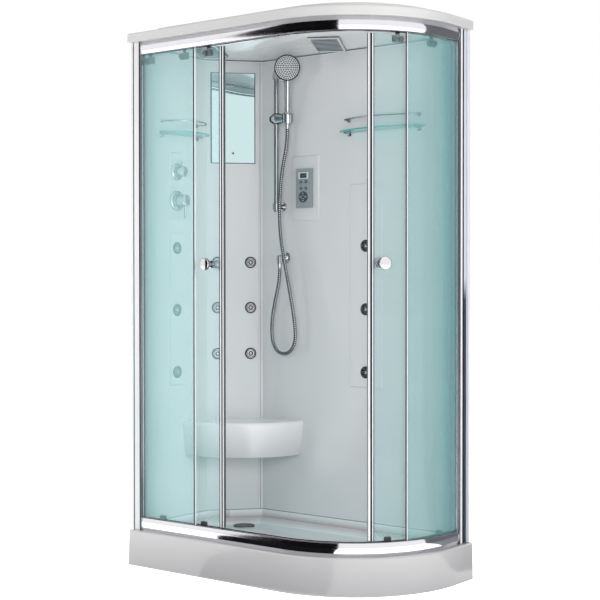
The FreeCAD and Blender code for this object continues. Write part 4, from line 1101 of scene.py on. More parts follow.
@dataclass
class Rails:
    """The chrome rails above and below the glass and the channels on the walls."""

    nose: float = 0.004
    arc_steps: int = 120
    skin: float = 0.0025
    lip_t: float = 0.003
    web: tuple[float, float] = (0.0163, 0.020)  # depths of the wall behind the glass
    slot_depth: float = 0.016
    glass_back: float = 0.0097
    inner_lip: float = 0.038
    top_back: float = 0.050
    low_back: float = 0.041
    floor: float = 0.022
    flange_set: float = 0.002
    hair: float = 0.0003
    bead: tuple[float, float, float] = (0.0045, 0.0095, 0.0014)  # two depths, how far out
    # how far the painted reflection bands stand out of the cover strips
    reflection_out: tuple[float, float] = (0.0015, 0.0017)  # how far out of the strip, back and face

    def stations(self) -> Grid:
        """Stations along the rail: a few on the straights, many on the arc.

        Returns:
            Distances along its outer face.
        """
        first, bend = PLAN.straight(), PLAN.bend()
        front = np.linspace(0, first, 12, endpoint=False)
        arc = np.linspace(first, first + bend, self.arc_steps, endpoint=False)
        side = np.linspace(first + bend, PLAN.whole(), 5)
        return np.concatenate([front, arc, side])

    def nose_curve(self, low: float, high: float) -> list[tuple[float, float]]:
        """The rail's rounded face: a shallow arc from its lower to its upper edge.

        Formula: the depth behind the face is the nose times the square of the
        height's share of the half height, so the middle stands furthest out.

        Args:
            low: height of the lower edge.
            high: height of the upper edge.

        Returns:
            Points of (depth, height).
        """
        t = np.linspace(-1, 1, 25)
        depth = self.nose * t ** 2
        height = (low + high) / 2 + t * (high - low) / 2
        return list(zip(depth.tolist(), height.tolist()))

    def sweep(self, section: list[tuple[float, float]], node: str) -> None:
        """Carry a closed section along the rail.

        Args:
            section: its points of (depth, height).
            node: the CAD node that it stands for.
        """
        Shape().along(self.stations(), np.array(section)).piece(
            node + "_profile", Body.CABIN, FINISH.rail, (node,), 28.0, 0.0005, "bright_aluminium")

    def build(self) -> None:
        """Make both rails and dress the channels."""
        a, b = self.web
        glass, lip = self.glass_back, self.inner_lip
        z0, z1 = PLAN.top_rail_z, PLAN.wall_top_z
        roof, back = z1 - self.skin, self.top_back
        self.sweep(self.nose_curve(z0, z1) + [
            (back, z1), (back, z0), (lip, z0), (lip, z0 + self.lip_t),
            (back - self.skin, z0 + self.lip_t), (back - self.skin, roof), (b, roof), (b, z0),
            (a, z0), (a, z0 + self.slot_depth), (glass, z0 + self.slot_depth),
            (glass, z0)], "top_rail")
        z0, z1 = PLAN.bottom_rail_z, PLAN.bottom_rail_top
        floor, back = z0 + self.floor, self.low_back
        self.sweep(self.nose_curve(z0, z1) + [
            (glass, z1), (glass, z1 - self.slot_depth), (a, z1 - self.slot_depth), (a, z1),
            (b, z1), (b, floor), (lip, floor), (lip, z1), (back, z1), (back, z0)], "bottom_rail")
        refine("wall_channels", "wall_channel_profiles", FINISH.rail, 0.0003)
        self.beads()
        self.cover_reflections()
        self.dark_trims()

    def beads(self) -> None:
        """The rubber beads in front of the glass, on the lower lip and under the upper one."""
        near, far, out = self.bead
        low, high = PLAN.bottom_rail_top, PLAN.top_rail_z
        for name, z0, z1 in (("low", low - self.hair, low + out),
                             ("high", high - out, high + self.hair)):
            Shape().along(self.stations(), upright(near, far, z0, z1)).piece(
                f"glazing_bead_{name}", Body.CABIN, FINISH.black, slot="clear_seal")

    def cover_reflections(self) -> None:
        """Painted reflections and shade on the two upright cover strips: bright and dark bands over their
        height.
        """
        z0, z1 = PLAN.bottom_rail_z + self.hair, PLAN.wall_top_z - self.hair
        x0, x1, y = PLAN.rail_x0, PLAN.rail_x1, PLAN.rail_y0
        near, far = self.reflection_out
        # painted reflections and shade on the left strip: a bright band, a dark band and a dark seam
        for name, a, b, finish in (("pale", 0.0002, 0.0024, FINISH.white_vinyl),
                                   ("dark", 0.0024, 0.0086, FINISH.dark_vinyl),
                                   ("seam", 0.0086, 0.0108, FINISH.dark_metal)):
            Shape().box((x0 + a, y - far, z0), (x0 + b, y - near, z1)).piece(
                "left_cover_" + name, Body.CABIN, finish, slot="bright_aluminium")
        # painted reflections and shade on the right post: dark, bright and dark bands and its painted two-band
        # face
        for name, a, b, finish in (("edge", 0.2421, 0.2482, FINISH.dark_vinyl),
                                   ("pale", 0.2482, 0.2612, FINISH.white_vinyl),
                                   ("dark", 0.2612, 0.2712, FINISH.dark_vinyl),
                                   ("face", 0.2712, 0.2869, FINISH.post_face)):
            Shape().box((x1 + near, a, z0), (x1 + far, b, z1)).piece(
                "right_cover_" + name, Body.CABIN, finish, slot="bright_aluminium")

    def dark_trims(self) -> None:
        """The dark gaskets of the wall channels and the seam of the left flange."""
        x0, x1, y = PLAN.rail_x0, PLAN.rail_x1, PLAN.rail_y0
        low, high = PLAN.bottom_rail_top + self.hair, PLAN.top_rail_z - self.hair
        seam_y, foot, top = y + self.flange_set, PLAN.bottom_rail_z, PLAN.wall_top_z
        for name, near, far in (
                ("right_channel_gasket", (x1 - 0.0031, 0.2342, low), (x1 - 0.0028, 0.2416, high)),
                ("left_channel_gasket", (x0 + 0.0123, y + 0.0025, low),
                 (x0 + 0.0160, y + 0.0029, high)),
                ("left_flange_seam", (-0.5928, seam_y - self.hair, foot + 0.0005),
                 (-0.5880, seam_y + 0.0008, top - 0.0005))):
            Shape().box(near, far).piece(name, Body.CABIN, FINISH.black, slot="clear_seal")


@dataclass
class FixedPanes:
    """The two fixed panes and the lips on their free edges."""

    low: float = 0.1688
    high: float = 2.0097
    near: float = 0.010
    far: float = 0.016
    left_x: tuple[float, float] = (-0.5567, -0.283)
    right_deg: float = 63.9
    right_gap: float = 0.0043
    edge: float = 0.0006
    lip_low: float = 0.1848
    lip_high: float = 1.9937
    lip_w: float = 0.002
    grip: tuple[float, float] = (0.009, 0.013)  # two depths behind the rail's face
    wiper: tuple[float, float] = (0.013, 0.021)  # the same

    def right_start(self) -> float:
        """Where the curved pane's free edge stands along the rail."""
        return PLAN.straight() + PLAN.rail_r * math.radians(self.right_deg)

    def lips(self) -> None:
        """The two-part lips on the free edges: a grip on the pane and a wiper to the door."""
        wide = self.lip_w * PLAN.rail_r / (PLAN.rail_r - self.far)
        pale, dark = FINISH.white_vinyl, FINISH.dark_vinyl
        for side, start, width, grip, wiper in (
                ("left", self.left_x[1] - PLAN.rail_x0, self.lip_w, dark, pale),
                ("right", self.right_start() - wide, wide, pale, dark)):
            s = np.array([start, start + width])
            for part, span, finish in (("grip", self.grip, grip), ("wiper", self.wiper, wiper)):
                nodes = ("fixed_glass_seals",) if (side, part) == ("left", "grip") else ()
                Shape().along(s, upright(*span, self.lip_low, self.lip_high)).piece(
                    f"{side}_pane_{part}", Body.CABIN, finish, nodes, slot="clear_seal")

    def build(self) -> None:
        """Make the flat and the curved pane and their lips."""
        y, (x0, x1) = PLAN.rail_y0, self.left_x
        Shape().box((x0, y + self.near, self.low), (x1, y + self.far, self.high)).piece(
            "left_fixed_pane", Body.CABIN, FINISH.pane, ("left_fixed_glass",),
            bevel=self.edge, slot="clear_glass")
        turn = PLAN.straight() + PLAN.bend()
        s = np.concatenate([np.linspace(self.right_start(), turn, 49, endpoint=False),
                            np.linspace(turn, PLAN.whole() - self.right_gap, 4)])
        Shape().along(s, upright(self.near, self.far, self.low, self.high)).piece(
            "right_fixed_pane", Body.CABIN, FINISH.shaded_curved_pane, ("right_fixed_glass",),
            bevel=self.edge, slot="clear_glass")
        self.lips()


@dataclass
class DoorKnob:
    """A double door knob turned about its own axis, through the glass."""

    head_r: float = 0.023
    neck_r: float = 0.011
    foot_r: float = 0.015
    reach: float = 0.046
    head: float = 0.014
    rim_r: float = 0.004
    back_r: float = 0.003
    foot_z: float = 0.010
    glass_z: float = 0.0033
    glass_o: float = 0.029
    z: float = 1.174

    def profile(self, sign: float) -> list[tuple[float, float]]:
        """One half of the knob, from its face back to the glass.

        Formula: a flat face, a rounded rim, a waist that follows a cosine, and a
        stepped foot.

        Args:
            sign: one for the outer half and minus one for the inner half.

        Returns:
            Profile points of (radius, height).
        """
        end, back_z = self.reach, self.reach - self.head
        rim_r, back_r, foot = self.rim_r, self.back_r, self.foot_z
        rim = [(self.head_r - rim_r + rim_r * math.sin(a), end - rim_r + rim_r * math.cos(a))
               for a in np.linspace(0, math.pi / 2, 8)]
        back = [(self.head_r - back_r + back_r * math.cos(a),
                 back_z + back_r - back_r * math.sin(a)) for a in np.linspace(0, math.pi / 2, 6)]
        flare = self.head_r - 2 * back_r - self.neck_r
        waist = [(self.neck_r + flare * (0.5 + 0.5 * math.cos(math.pi * k)),
                  back_z - (back_z - foot) * k * 0.5) for k in np.linspace(0, 1, 9)]
        step = [(self.neck_r, foot), (self.foot_r - 0.002, foot - 0.001),
                (self.foot_r, 0.0075), (self.foot_r, self.glass_z), (0.006, self.glass_z)]
        return [(r, sign * h) for r, h in [(0.0, end)] + rim + back + waist + step]

    def build(self, name: str, body: Body, degrees: float | None, x: float, node: str) -> None:
        """Turn both halves and the bolt between them at the door's station.

        Args:
            name: the piece's name.
            body: the door.
            degrees: its angle about the arc, or None on the flat door.
            x: its place on the flat door.
            node: the CAD node that it stands for.
        """
        if degrees is None:
            place = toward((x, PLAN.rail_y0 + self.glass_o, self.z), (0, -1, 0))
        else:
            spot = around_arc(np.array(degrees), np.array(self.glass_o), np.array(self.z))
            a = math.radians(degrees)
            place = toward(tuple(spot), (math.sin(a), -math.cos(a), 0))
        both = self.profile(1.0) + self.profile(-1.0)[::-1]
        Shape().turned(both, 64, place).piece(name, body, FINISH.chrome, (node,), sharp=40.0,
                                              slot="chrome")


Strip = tuple[float, float, float, Finish]  # start and end as shares, how proud, finish


@dataclass
class Doors:
    """The flat left door and the curved right door with all that travels on them."""

    low: float = 0.188
    high: float = 1.986
    near: float = 0.026
    far: float = 0.032
    profile: float = 0.024
    grip: float = 0.014
    lead_x: float = -0.143
    tail_x: float = -0.555
    lead_deg: float = 43.8
    tail_deg: float = 108.31
    mid_r: float = 0.407
    left_knob_in: float = 0.067
    right_knob_in: float = 0.053
    tail_span: tuple[float, float] = (0.019, 0.034)
    tail_t: float = 0.0015
    edge: float = 0.0006
    soft: float = 0.0003
    left_strips: tuple[Strip, ...] = (
        (0.0, 0.17, 0.0018, FINISH.dark_vinyl), (0.17, 0.40, 0.0020, FINISH.white_vinyl),
        (0.40, 0.68, 0.0018, FINISH.dark_vinyl), (0.68, 0.88, 0.0020, FINISH.white_vinyl),
        (0.88, 1.0, 0.0016, FINISH.dark_metal))
    right_strips: tuple[Strip, ...] = (
        (0.0, 0.12, 0.0018, FINISH.dark_vinyl), (0.12, 0.30, 0.0020, FINISH.white_vinyl),
        (0.30, 0.58, 0.0018, FINISH.dark_vinyl), (0.58, 0.72, 0.0020, FINISH.plate),
        (0.72, 0.88, 0.0020, FINISH.white_vinyl), (0.88, 1.0, 0.0016, FINISH.dark_metal))

    def left(self) -> None:
        """Make the flat door."""
        y0, y1 = PLAN.rail_y0 + self.near, PLAN.rail_y0 + self.far
        Shape().box((self.tail_x, y0, self.low), (self.lead_x - self.grip, y1, self.high)).piece(
            "left_door_pane", Body.LEFT_DOOR, FINISH.pane, ("left_door_glass",),
            bevel=self.edge, slot="clear_glass")
        start = self.lead_x - self.profile
        for i, (a, b, proud, finish) in enumerate(self.left_strips):
            strip = Shape().box((start + a * self.profile, y0 - proud, self.low),
                                (start + b * self.profile, y1 + proud, self.high))
            strip.piece(f"left_door_strip_{i}", Body.LEFT_DOOR, finish,
                        () if i else ("left_door_seals",), bevel=self.soft, slot="magnet_profile")
        near, far = self.tail_span
        tail = Shape().box((self.tail_x - self.tail_t, PLAN.rail_y0 + near, self.low),
                           (self.tail_x, PLAN.rail_y0 + far, self.high))
        tail.piece("left_door_tail_seal", Body.LEFT_DOOR, FINISH.clear_vinyl, bevel=self.soft,
                   slot="magnet_profile")
        DoorKnob().build("left_door_knob", Body.LEFT_DOOR, None,
                         self.lead_x - self.left_knob_in, "left_knob")

    def turn(self, length: float) -> float:
        """The angle in degrees that a length takes on the curved door's middle line."""
        return math.degrees(length / self.mid_r)

    def right(self) -> None:
        """Make the curved door."""
        deg = np.linspace(self.lead_deg + self.turn(self.grip), self.tail_deg, 90)
        Shape().around(deg, upright(self.near, self.far, self.low, self.high)).piece(
            "right_door_pane", Body.RIGHT_DOOR, FINISH.shaded_curved_pane, ("right_door_glass",),
            bevel=self.edge, slot="clear_glass")
        width = self.turn(self.profile)
        for i, (a, b, proud, finish) in enumerate(self.right_strips):
            deg = np.linspace(self.lead_deg + width * (1 - a), self.lead_deg + width * (1 - b), 4)
            side = upright(self.near - proud, self.far + proud, self.low, self.high)
            Shape().around(deg, side).piece(
                f"right_door_strip_{i}", Body.RIGHT_DOOR, finish,
                () if i else ("right_door_seals",), bevel=self.soft, slot="magnet_profile")
        deg = np.array([self.tail_deg, self.tail_deg + self.turn(self.tail_t)])
        Shape().around(deg, upright(*self.tail_span, self.low, self.high)).piece(
            "right_door_tail_seal", Body.RIGHT_DOOR, FINISH.white_vinyl, slot="magnet_profile")
        DoorKnob().build("right_door_knob", Body.RIGHT_DOOR,
                         self.lead_deg + self.turn(self.right_knob_in), 0.0, "right_knob")

    def running_gear(self) -> None:
        """Dress the hangers, wheels and lower guides."""
        for side in ("left", "right"):
            refine(side + "_door_hangers", side + "_hanger_plates", FINISH.dark_metal, 0.0005)
            refine(side + "_door_guides", side + "_guide_shoes", FINISH.black, 0.0005)
        refine_all("nylon", 30.0, *((wheel + "_wheel", wheel + "_wheel_tyre", FINISH.nylon, 0.0003)
                                    for wheel in ("left_outer", "left_middle", "left_inner",
                                                  "right_front", "right_rear")))

    def build(self) -> None:
        """Make both doors."""
        self.left()
        self.right()
        self.running_gear()


@dataclass
class MassageJets:
    """The round jets on the three walls."""

    ring_r: float = 0.0235
    rim: float = 0.003
    # the dark ring round each chrome ring, painted contact shadow and dark reflection: its width in, and how
    # far the chrome ring stands back
    shade_ring_in: float = 0.005
    shade_ring_out: float = 0.0032
    lip: tuple[float, float, float] = (0.0165, 0.0060, 0.0010)  # radius, height, rounding
    ball_r: float = 0.0078
    ball: tuple[float, float, float] = (0.0062, 0.98, 0.42)  # height, squash, last angle
    bowl_r: float = 0.0152
    bowl_z: float = 0.0022
    collar: tuple[float, float] = (0.0108, 0.0128)  # two radii
    left_s: float = -0.087
    left_zs: tuple[float, ...] = (0.746, 0.995, 1.243)
    corner_ss: tuple[float, ...] = (0.045, 0.183)
    corner_zs: tuple[float, ...] = (0.811, 1.001, 1.188)
    back_s: float = 0.142
    back_zs: tuple[float, ...] = (0.753, 1.000, 1.248)
    pad: float = 0.005

    def spots(self) -> list[tuple[Matrix, float]]:
        """List each jet's place and the height of the surface that it stands on.

        Returns:
            Pairs of a matrix and a height.
        """
        found = [(wall_matrix(Wall.LEFT, self.left_s, z), self.pad) for z in self.left_zs]
        found += [(wall_matrix(Wall.CORNER, s, z), 0.0)
                  for s in self.corner_ss for z in self.corner_zs]
        found += [(wall_matrix(Wall.BACK, self.back_s, z), self.pad) for z in self.back_zs]
        return found

    def ring_profile(self) -> list[tuple[float, float]]:
        """The chrome ring: a rounded rim round a conical bowl.

        Returns:
            Profile points of (radius, height).
        """
        r = self.ring_r - self.shade_ring_out
        rim = [(r - self.rim + self.rim * math.cos(a), 0.004 + self.rim * math.sin(a))
               for a in np.linspace(0, math.pi / 2, 7)]
        middle, height, round_r = self.lip
        inner = [(middle - round_r * math.sin(a), height + round_r * math.cos(a))
                 for a in np.linspace(0, math.pi / 2, 5)]
        return [(0, 0), (r, 0)] + rim + inner + [(0.0145, 0.0030), (0.0, self.bowl_z)]

    def nozzle_profile(self) -> list[tuple[float, float]]:
        """The swivelling nozzle: a ball with a flattened face and a hole.

        Returns:
            Profile points of (radius, height).
        """
        high, flat, end = self.ball
        ball = [(self.ball_r * math.sin(a), self.bowl_z + high * math.cos(a) * flat)
                for a in np.linspace(math.pi / 2, end, 9)]
        hole = [(0.0026, 0.0079), (0.0020, 0.0050), (0, 0.0048)]
        return [(self.ball_r, self.bowl_z)] + ball + hole

    def build(self) -> None:
        """Gather each kind of part of all the jets in one piece."""
        rings, bowls, nozzles, dark_trims = Shape(), Shape(), Shape(), Shape()
        r, foot = self.ring_r, self.ring_r - self.shade_ring_in
        # painted shade: a dark ring round each chrome ring and a black dish inside it, for contact shadow and
        # dark reflection
        shade_ring = [(foot, 0.0), (r, 0.0), (r, 0.0026), (r - 0.0008, 0.0034), (foot, 0.0034)]
        bowl = [(0, 0.0024), (self.bowl_r, 0.0034), (self.bowl_r, 0.0038), (0, 0.0030)]
        lift = Matrix.Rotation(math.pi / 2, 4, "X")
        for place, back in self.spots():
            here = place @ Matrix.Translation((0, -back, 0)) @ lift
            rings.turned(self.ring_profile(), 40, here)
            nozzles.turned(self.nozzle_profile(), 28, here)
            dark_trims.turned(shade_ring, 40, here)
            bowls.turned(bowl, 28, here)
            nozzles.turned(washer(*self.collar, 0.0034, 0.0052), 28, here)
        for shape, name, finish in ((rings, "jet_rings", FINISH.jet),
                                    (bowls, "jet_bowls", FINISH.black),
                                    (dark_trims, "jet_gaskets", FINISH.dark_vinyl),
                                    (nozzles, "jet_nozzles", FINISH.chrome)):
            shape.piece(name, Body.CABIN, finish, ("massage_jets",) if shape is rings else (),
                        sharp=40.0, slot="chrome")


@dataclass
class GlassShelf:
    """A bowed glass shelf on one wall."""

    name: str
    wall: Wall
    start: float
    end: float
    end_depth: float
    mid_depth: float
    base: float = 1.695
    thick: float = 0.006
    corner: float = 0.022
    edge: float = 0.0008
    band_in: float = 0.0006
    band_out: float = 0.0001

    def outline(self) -> Grid:
        """The plate's outline, its front bowed and its front corners rounded.

        Formula: the depth at a share t of the half length is the end depth plus the
        rest times one minus the square of t, and near each end it falls away
        on a quarter circle of the corner's radius.

        Returns:
            Points of (place along the wall, minus the depth).
        """
        half = (self.end - self.start) / 2
        x = half * np.cos(np.linspace(0, math.pi, 81))
        t = np.abs(x) / half
        depth = self.end_depth + (self.mid_depth - self.end_depth) * (1 - t ** 2)
        reach = np.clip((np.abs(x) - (half - self.corner)) / self.corner, 0, 1)
        depth = depth - self.corner * (1 - np.sqrt(1 - reach ** 2))
        mid = (self.start + self.end) / 2
        front = np.column_stack([mid + x, -depth])
        return np.concatenate([[(self.end, 0.0)], front, [(self.start, 0.0)]])

    def build(self) -> None:
        """Raise the plate and its cut edge."""
        place = wall_matrix(self.wall, 0, 0)
        rim = self.outline()
        Shape().plate(rim, self.base, self.base + self.thick, place).piece(
            self.name + "_shelf_plate", Body.CABIN, FINISH.shelf, (self.name + "_shelf_glass",),
            bevel=self.edge, slot="shelf_glass")
        line = np.column_stack([rim[1:-1], np.full(len(rim) - 2, self.base + self.thick / 2)])
        path = moved(line, place)
        step = np.diff(path, axis=0)
        out = np.cross(np.vstack([step, step[-1:]]), (0, 0, 1.0))
        out /= np.linalg.norm(out, axis=1, keepdims=True)
        h = self.thick / 2 - self.band_in
        band = [path + out * d + np.array([0, 0, z]) for d, z in
                ((0.0, -h), (self.band_out, -h), (self.band_out, h), (0.0, h))]
        Shape().grid(np.stack(band, axis=1)).piece(
            self.name + "_shelf_edge", Body.CABIN, FINISH.shelf_edge, slot="shelf_glass")


@dataclass
class WallFittings:
    """Mirror, shelves, mixer, diverter, hose outlet and the drain's cover."""

    drain: tuple[float, float, float] = (-0.377, 0.143, 0.114)
    slots: tuple[tuple[int, float, float, float], ...] = (  # count, two radii, half a width
        (12, 0.020, 0.038, 0.0022), (6, 0.006, 0.015, 0.0018))
    slot_high: float = 0.0002
    drain_ring: tuple[float, float, float] = (0.0405, 0.0430, 0.0003)  # two radii, height
    mirror_s: float = 0.110
    mirror_w: float = 0.186
    mirror_z: tuple[float, float] = (1.596, 1.970)
    mirror_t: float = 0.004
    mirror_in: float = 0.0002
    mirror_bands: tuple[float, ...] = (0.0050, 0.0034, 0.0028, 0.0020)  # left, right, low, high
    band_y: tuple[float, float] = (-0.0003, 0.0010)  # from the mirror's face
    screw_zs: tuple[float, float] = (1.638, 1.919)
    screw_out: float = 0.0025
    socket: tuple[float, float] = (0.0034, 0.0004)  # radius, height

    def drain_slots(self) -> None:
        """Painted shade in the slots of the drain plate, twelve long ones round six short ones, and a dark ring
        round it.
        """
        shape = Shape()
        middle = Matrix.Translation(self.drain)
        for count, near, far, half in self.slots:
            for k in range(count):
                place = middle @ Matrix.Rotation(2 * math.pi * k / count, 4, "Z")
                shape.box((near, -half, 0.0), (far, half, self.slot_high), place)
        # painted shade in the gap round the plate
        inner, outer, high = self.drain_ring
        shape.turned(washer(inner, outer, 0.0, high), 48, middle)
        shape.piece("drain_slots", Body.CABIN, FINISH.black, slot="chrome")

    def mirror_trim(self) -> None:
        """The mirror's ground edges, which show as dark lines, and painted shade in its screws' sockets."""
        place = wall_matrix(Wall.CORNER, self.mirror_s, 0.0)
        face = -self.mirror_t
        left, right = self.mirror_in - self.mirror_w / 2, self.mirror_w / 2 - self.mirror_in
        low, high = self.mirror_z[0] + self.mirror_in, self.mirror_z[1] - self.mirror_in
        wide_left, wide_right, tall_low, tall_high = self.mirror_bands
        left_in, right_in = left + wide_left, right - wide_right
        out, back = self.band_y
        edges = Shape()
        for x0, x1, z0, z1 in ((left, left_in, low, high), (right_in, right, low, high),
                               (left_in, right_in, low, low + tall_low),
                               (left_in, right_in, high - tall_high, high)):
            edges.box((x0, face + out, z0), (x1, face + back, z1), place)
        edges.piece("mirror_edges", Body.CABIN, FINISH.shelf_edge, slot="mirror")
        # painted shade: a black disc in each screw's socket
        sockets = Shape()
        lift = Matrix.Rotation(math.pi / 2, 4, "X")
        for z in self.screw_zs:
            spot = place @ Matrix.Translation((0.0, face - self.screw_out, z)) @ lift
            sockets.turned(disc(*self.socket), 20, spot)
        sockets.piece("mirror_screw_sockets", Body.CABIN, FINISH.black, slot="chrome")

    def build(self) -> None:
        """Make or dress each fitting."""
        refine("mirror", "mirror_plate", FINISH.mirror, 0.0015)
        refine("mirror_screws", "mirror_cap_screws", FINISH.nylon)
        self.mirror_trim()
        GlassShelf("right", Wall.BACK, 0.034, 0.412, 0.042, 0.084).build()
        GlassShelf("left", Wall.LEFT, -0.183, 0.048, 0.062, 0.112).build()
        refine("shelf_rails", "shelf_rail_rods", FINISH.chrome, 0.0, 40.0)
        refine("shelf_clips", "shelf_clip_blocks", FINISH.chrome, 0.0008)
        for node, name in (("mixer", "lever"), ("diverter", "knob")):
            refine(node + "_body", node + "_valve", FINISH.chrome, 0.0008)
            refine(f"{node}_{name}", node + "_handle", FINISH.chrome, 0.0006, 35.0)
        refine_all("chrome", 35.0, ("hose_outlet", "outlet_elbow", FINISH.chrome, 0.0),
                   ("drain_cover", "drain_plate", FINISH.satin_dark_reflection, 0.0))
        self.drain_slots()


@dataclass
class ShowerSet:
    """Slide bar, slider, hand shower and hose."""

    cup: tuple[float, float, float] = (-0.216, 0.225, 1.770)
    turn: float = 38.0
    lean: float = 15.0
    head_up: float = 0.202
    head_out: float = 0.012
    head_tilt: float = 6.0
    face_r: float = 0.044
    plate_t: float = 0.0028
    plate_round: float = 0.0006
    boss_r: float = 0.013
    head_half: float = 0.012
    hose_r: float = 0.007
    ridge: float = 0.0085
    ridge_h: float = 0.0008
    per_ridge: int = 8
    per_turn: int = 16
    rim_rs: tuple[float, float, float] = (0.0462, 0.0500, 0.0512)
    nozzle_rings: tuple[tuple[float, int], ...] = (  # radius, count
        (0.0, 1), (0.0087, 6), (0.0174, 12), (0.0261, 18), (0.0348, 24), (0.0425, 30))
    nozzle: tuple[tuple[float, float], ...] = (  # one nozzle's profile
        (0.0030, 0), (0.0027, 0.0011), (0.0014, 0.0014), (0, 0.0011))
    route: tuple[tuple[float, float, float], ...] = (
        (-0.22253, 0.23336, 1.73040), (-0.22859, 0.24111, 1.69369),
        (-0.234, 0.238, 1.640), (-0.242, 0.229, 1.580), (-0.247, 0.222, 1.515),
        (-0.249, 0.218, 1.450), (-0.248, 0.213, 1.370), (-0.238, 0.208, 1.290),
        (-0.221, 0.205, 1.212), (-0.203, 0.206, 1.130), (-0.189, 0.211, 1.050),
        (-0.178, 0.217, 0.975), (-0.172, 0.222, 0.905), (-0.180, 0.226, 0.853),
        (-0.212, 0.229, 0.817), (-0.262, 0.231, 0.814), (-0.296, 0.232, 0.850),
        (-0.304, 0.232, 0.902), (-0.299, 0.231, 0.965), (-0.286, 0.230, 1.024),
        (-0.270, 0.230, 1.078), (-0.260, 0.230, 1.127), (-0.260, 0.230, 1.165))

    def cup_matrix(self) -> Matrix:
        """The holder's leaning axis: +Z along the handle, -Y to the room."""
        turn = Matrix.Rotation(math.radians(self.turn), 4, "Z")
        lean = Matrix.Rotation(math.radians(self.lean), 4, "X")
        return Matrix.Translation(self.cup) @ turn @ lean

    def head_matrix(self) -> Matrix:
        """The head's place: +Z out of its nozzle face."""
        tilt = Matrix.Rotation(math.radians(self.head_tilt - self.lean), 4, "X")
        neck = Matrix.Translation((0, -self.head_out, self.head_up))
        return self.cup_matrix() @ neck @ tilt @ Matrix.Rotation(math.pi / 2, 4, "X")

    def spray_face(self) -> None:
        """The face plate and rings of rubber nozzles on it."""
        place = self.head_matrix()
        h, r = self.head_half, self.face_r
        base, round_r, boss = h - self.plate_t, self.plate_round, self.boss_r
        face = [(0, base), (r, base), (r, h - round_r), (r - round_r, h), (boss, h),
                (boss - 0.0005, h + 0.0006), (0, h + 0.0008)]
        inner, top, outer = self.rim_rs
        rim = [(inner, h - 0.001), (outer, h - 0.001), (outer, h - 0.0004), (top, h + 0.0004),
               (inner, h + 0.0004), (inner, h - 0.001)]
        Shape().turned(face, 72, place).piece("spray_plate", Body.SLIDER, FINISH.spray,
                                              ("spray_face",), slot="nozzle_rubber")
        Shape().turned(rim, 72, place).piece("spray_rim", Body.SLIDER, FINISH.dark_vinyl,
                                             slot="nozzle_rubber")
        tips = Shape()
        for ring, count in self.nozzle_rings:
            for k in range(count):
                a = 2 * math.pi * k / count
                spot = place @ Matrix.Translation((ring * math.cos(a), ring * math.sin(a), h))
                tips.turned(self.nozzle, 8, spot)
        tips.piece("spray_nozzles", Body.SLIDER, FINISH.nozzle, slot="nozzle_rubber")

    def spline(self) -> Grid:
        """Read points from the hose's own NURBS line.

        Returns:
            Points in metres from the hand shower to the outlet.
        """
        data = bpy.data.curves.new("hose_line", "CURVE")
        data.dimensions = "3D"
        data.resolution_u = 32
        line = data.splines.new("NURBS")
        line.points.add(len(self.route) - 1)
        control = np.column_stack([self.route, np.ones(len(self.route))])
        line.points.foreach_set("co", control.ravel())
        line.order_u = 3
        line.use_endpoint_u = True
        guide = bpy.data.objects.new("hose_line", data)
        bpy.context.scene.collection.objects.link(guide)
        bpy.context.view_layer.update()
        mesh = bpy.data.meshes.new_from_object(guide)
        points = np.empty((len(mesh.vertices), 3))
        mesh.vertices.foreach_get("co", points.ravel())
        bpy.data.objects.remove(guide)
        bpy.data.meshes.remove(mesh)
        return points

    def hose(self) -> None:
        """The corrugated metal hose.

        Formula: a circle carried along the line, its radius swelling and shrinking
        by a cosine of the distance travelled less the share of a turn gone round, so
        that one rib winds along the hose.
        """
        line = self.spline()
        steps = np.linalg.norm(np.diff(line, axis=0), axis=1)
        gone = np.concatenate([[0], np.cumsum(steps)])
        count = int(gone[-1] / self.ridge) * self.per_ridge
        at = np.linspace(0, gone[-1], count)
        path = np.column_stack([np.interp(at, gone, line[:, i]) for i in range(3)])
        around = np.linspace(0, 2 * math.pi, self.per_turn, endpoint=False)
        rib = 0.5 + 0.5 * np.cos(2 * math.pi * at[:, None] / self.ridge - around)
        radius = self.hose_r - self.ridge_h * (1 - rib)
        obj = Shape().tube(path, radius, self.per_turn).piece(
            "hose_tube", Body.CABIN, FINISH.hose, ("hose",), sharp=80.0, slot="chrome", rib=rib)
        # the hose is taken off its body and rides on none
        world = obj.matrix_world.copy()
        obj.parent = None
        obj.matrix_world = world
        del obj["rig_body"]
        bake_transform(obj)
        log.info("hose %.3f m along its line", gone[-1])

    def build(self) -> None:
        """Make the set."""
        refine_all("chrome", 30.0, ("slide_bar", "riser_bar", FINISH.satin_dark_reflection, 0.0006),
                   ("slide_bar_mounts", "riser_mounts", FINISH.chrome, 0.0008))
        refine_all("plated_plastic", 30.0, ("slider", "slider_body", FINISH.chrome, 0.0008),
                   ("hand_shower", "hand_shower_body", FINISH.chrome, 0.0008))
        refine_all("chrome", 30.0, ("handle_nut", "handle_hose_nut", FINISH.chrome, 0.0006),
                   ("outlet_nut", "outlet_hose_nut", FINISH.chrome, 0.0006))
        self.spray_face()
        self.hose()


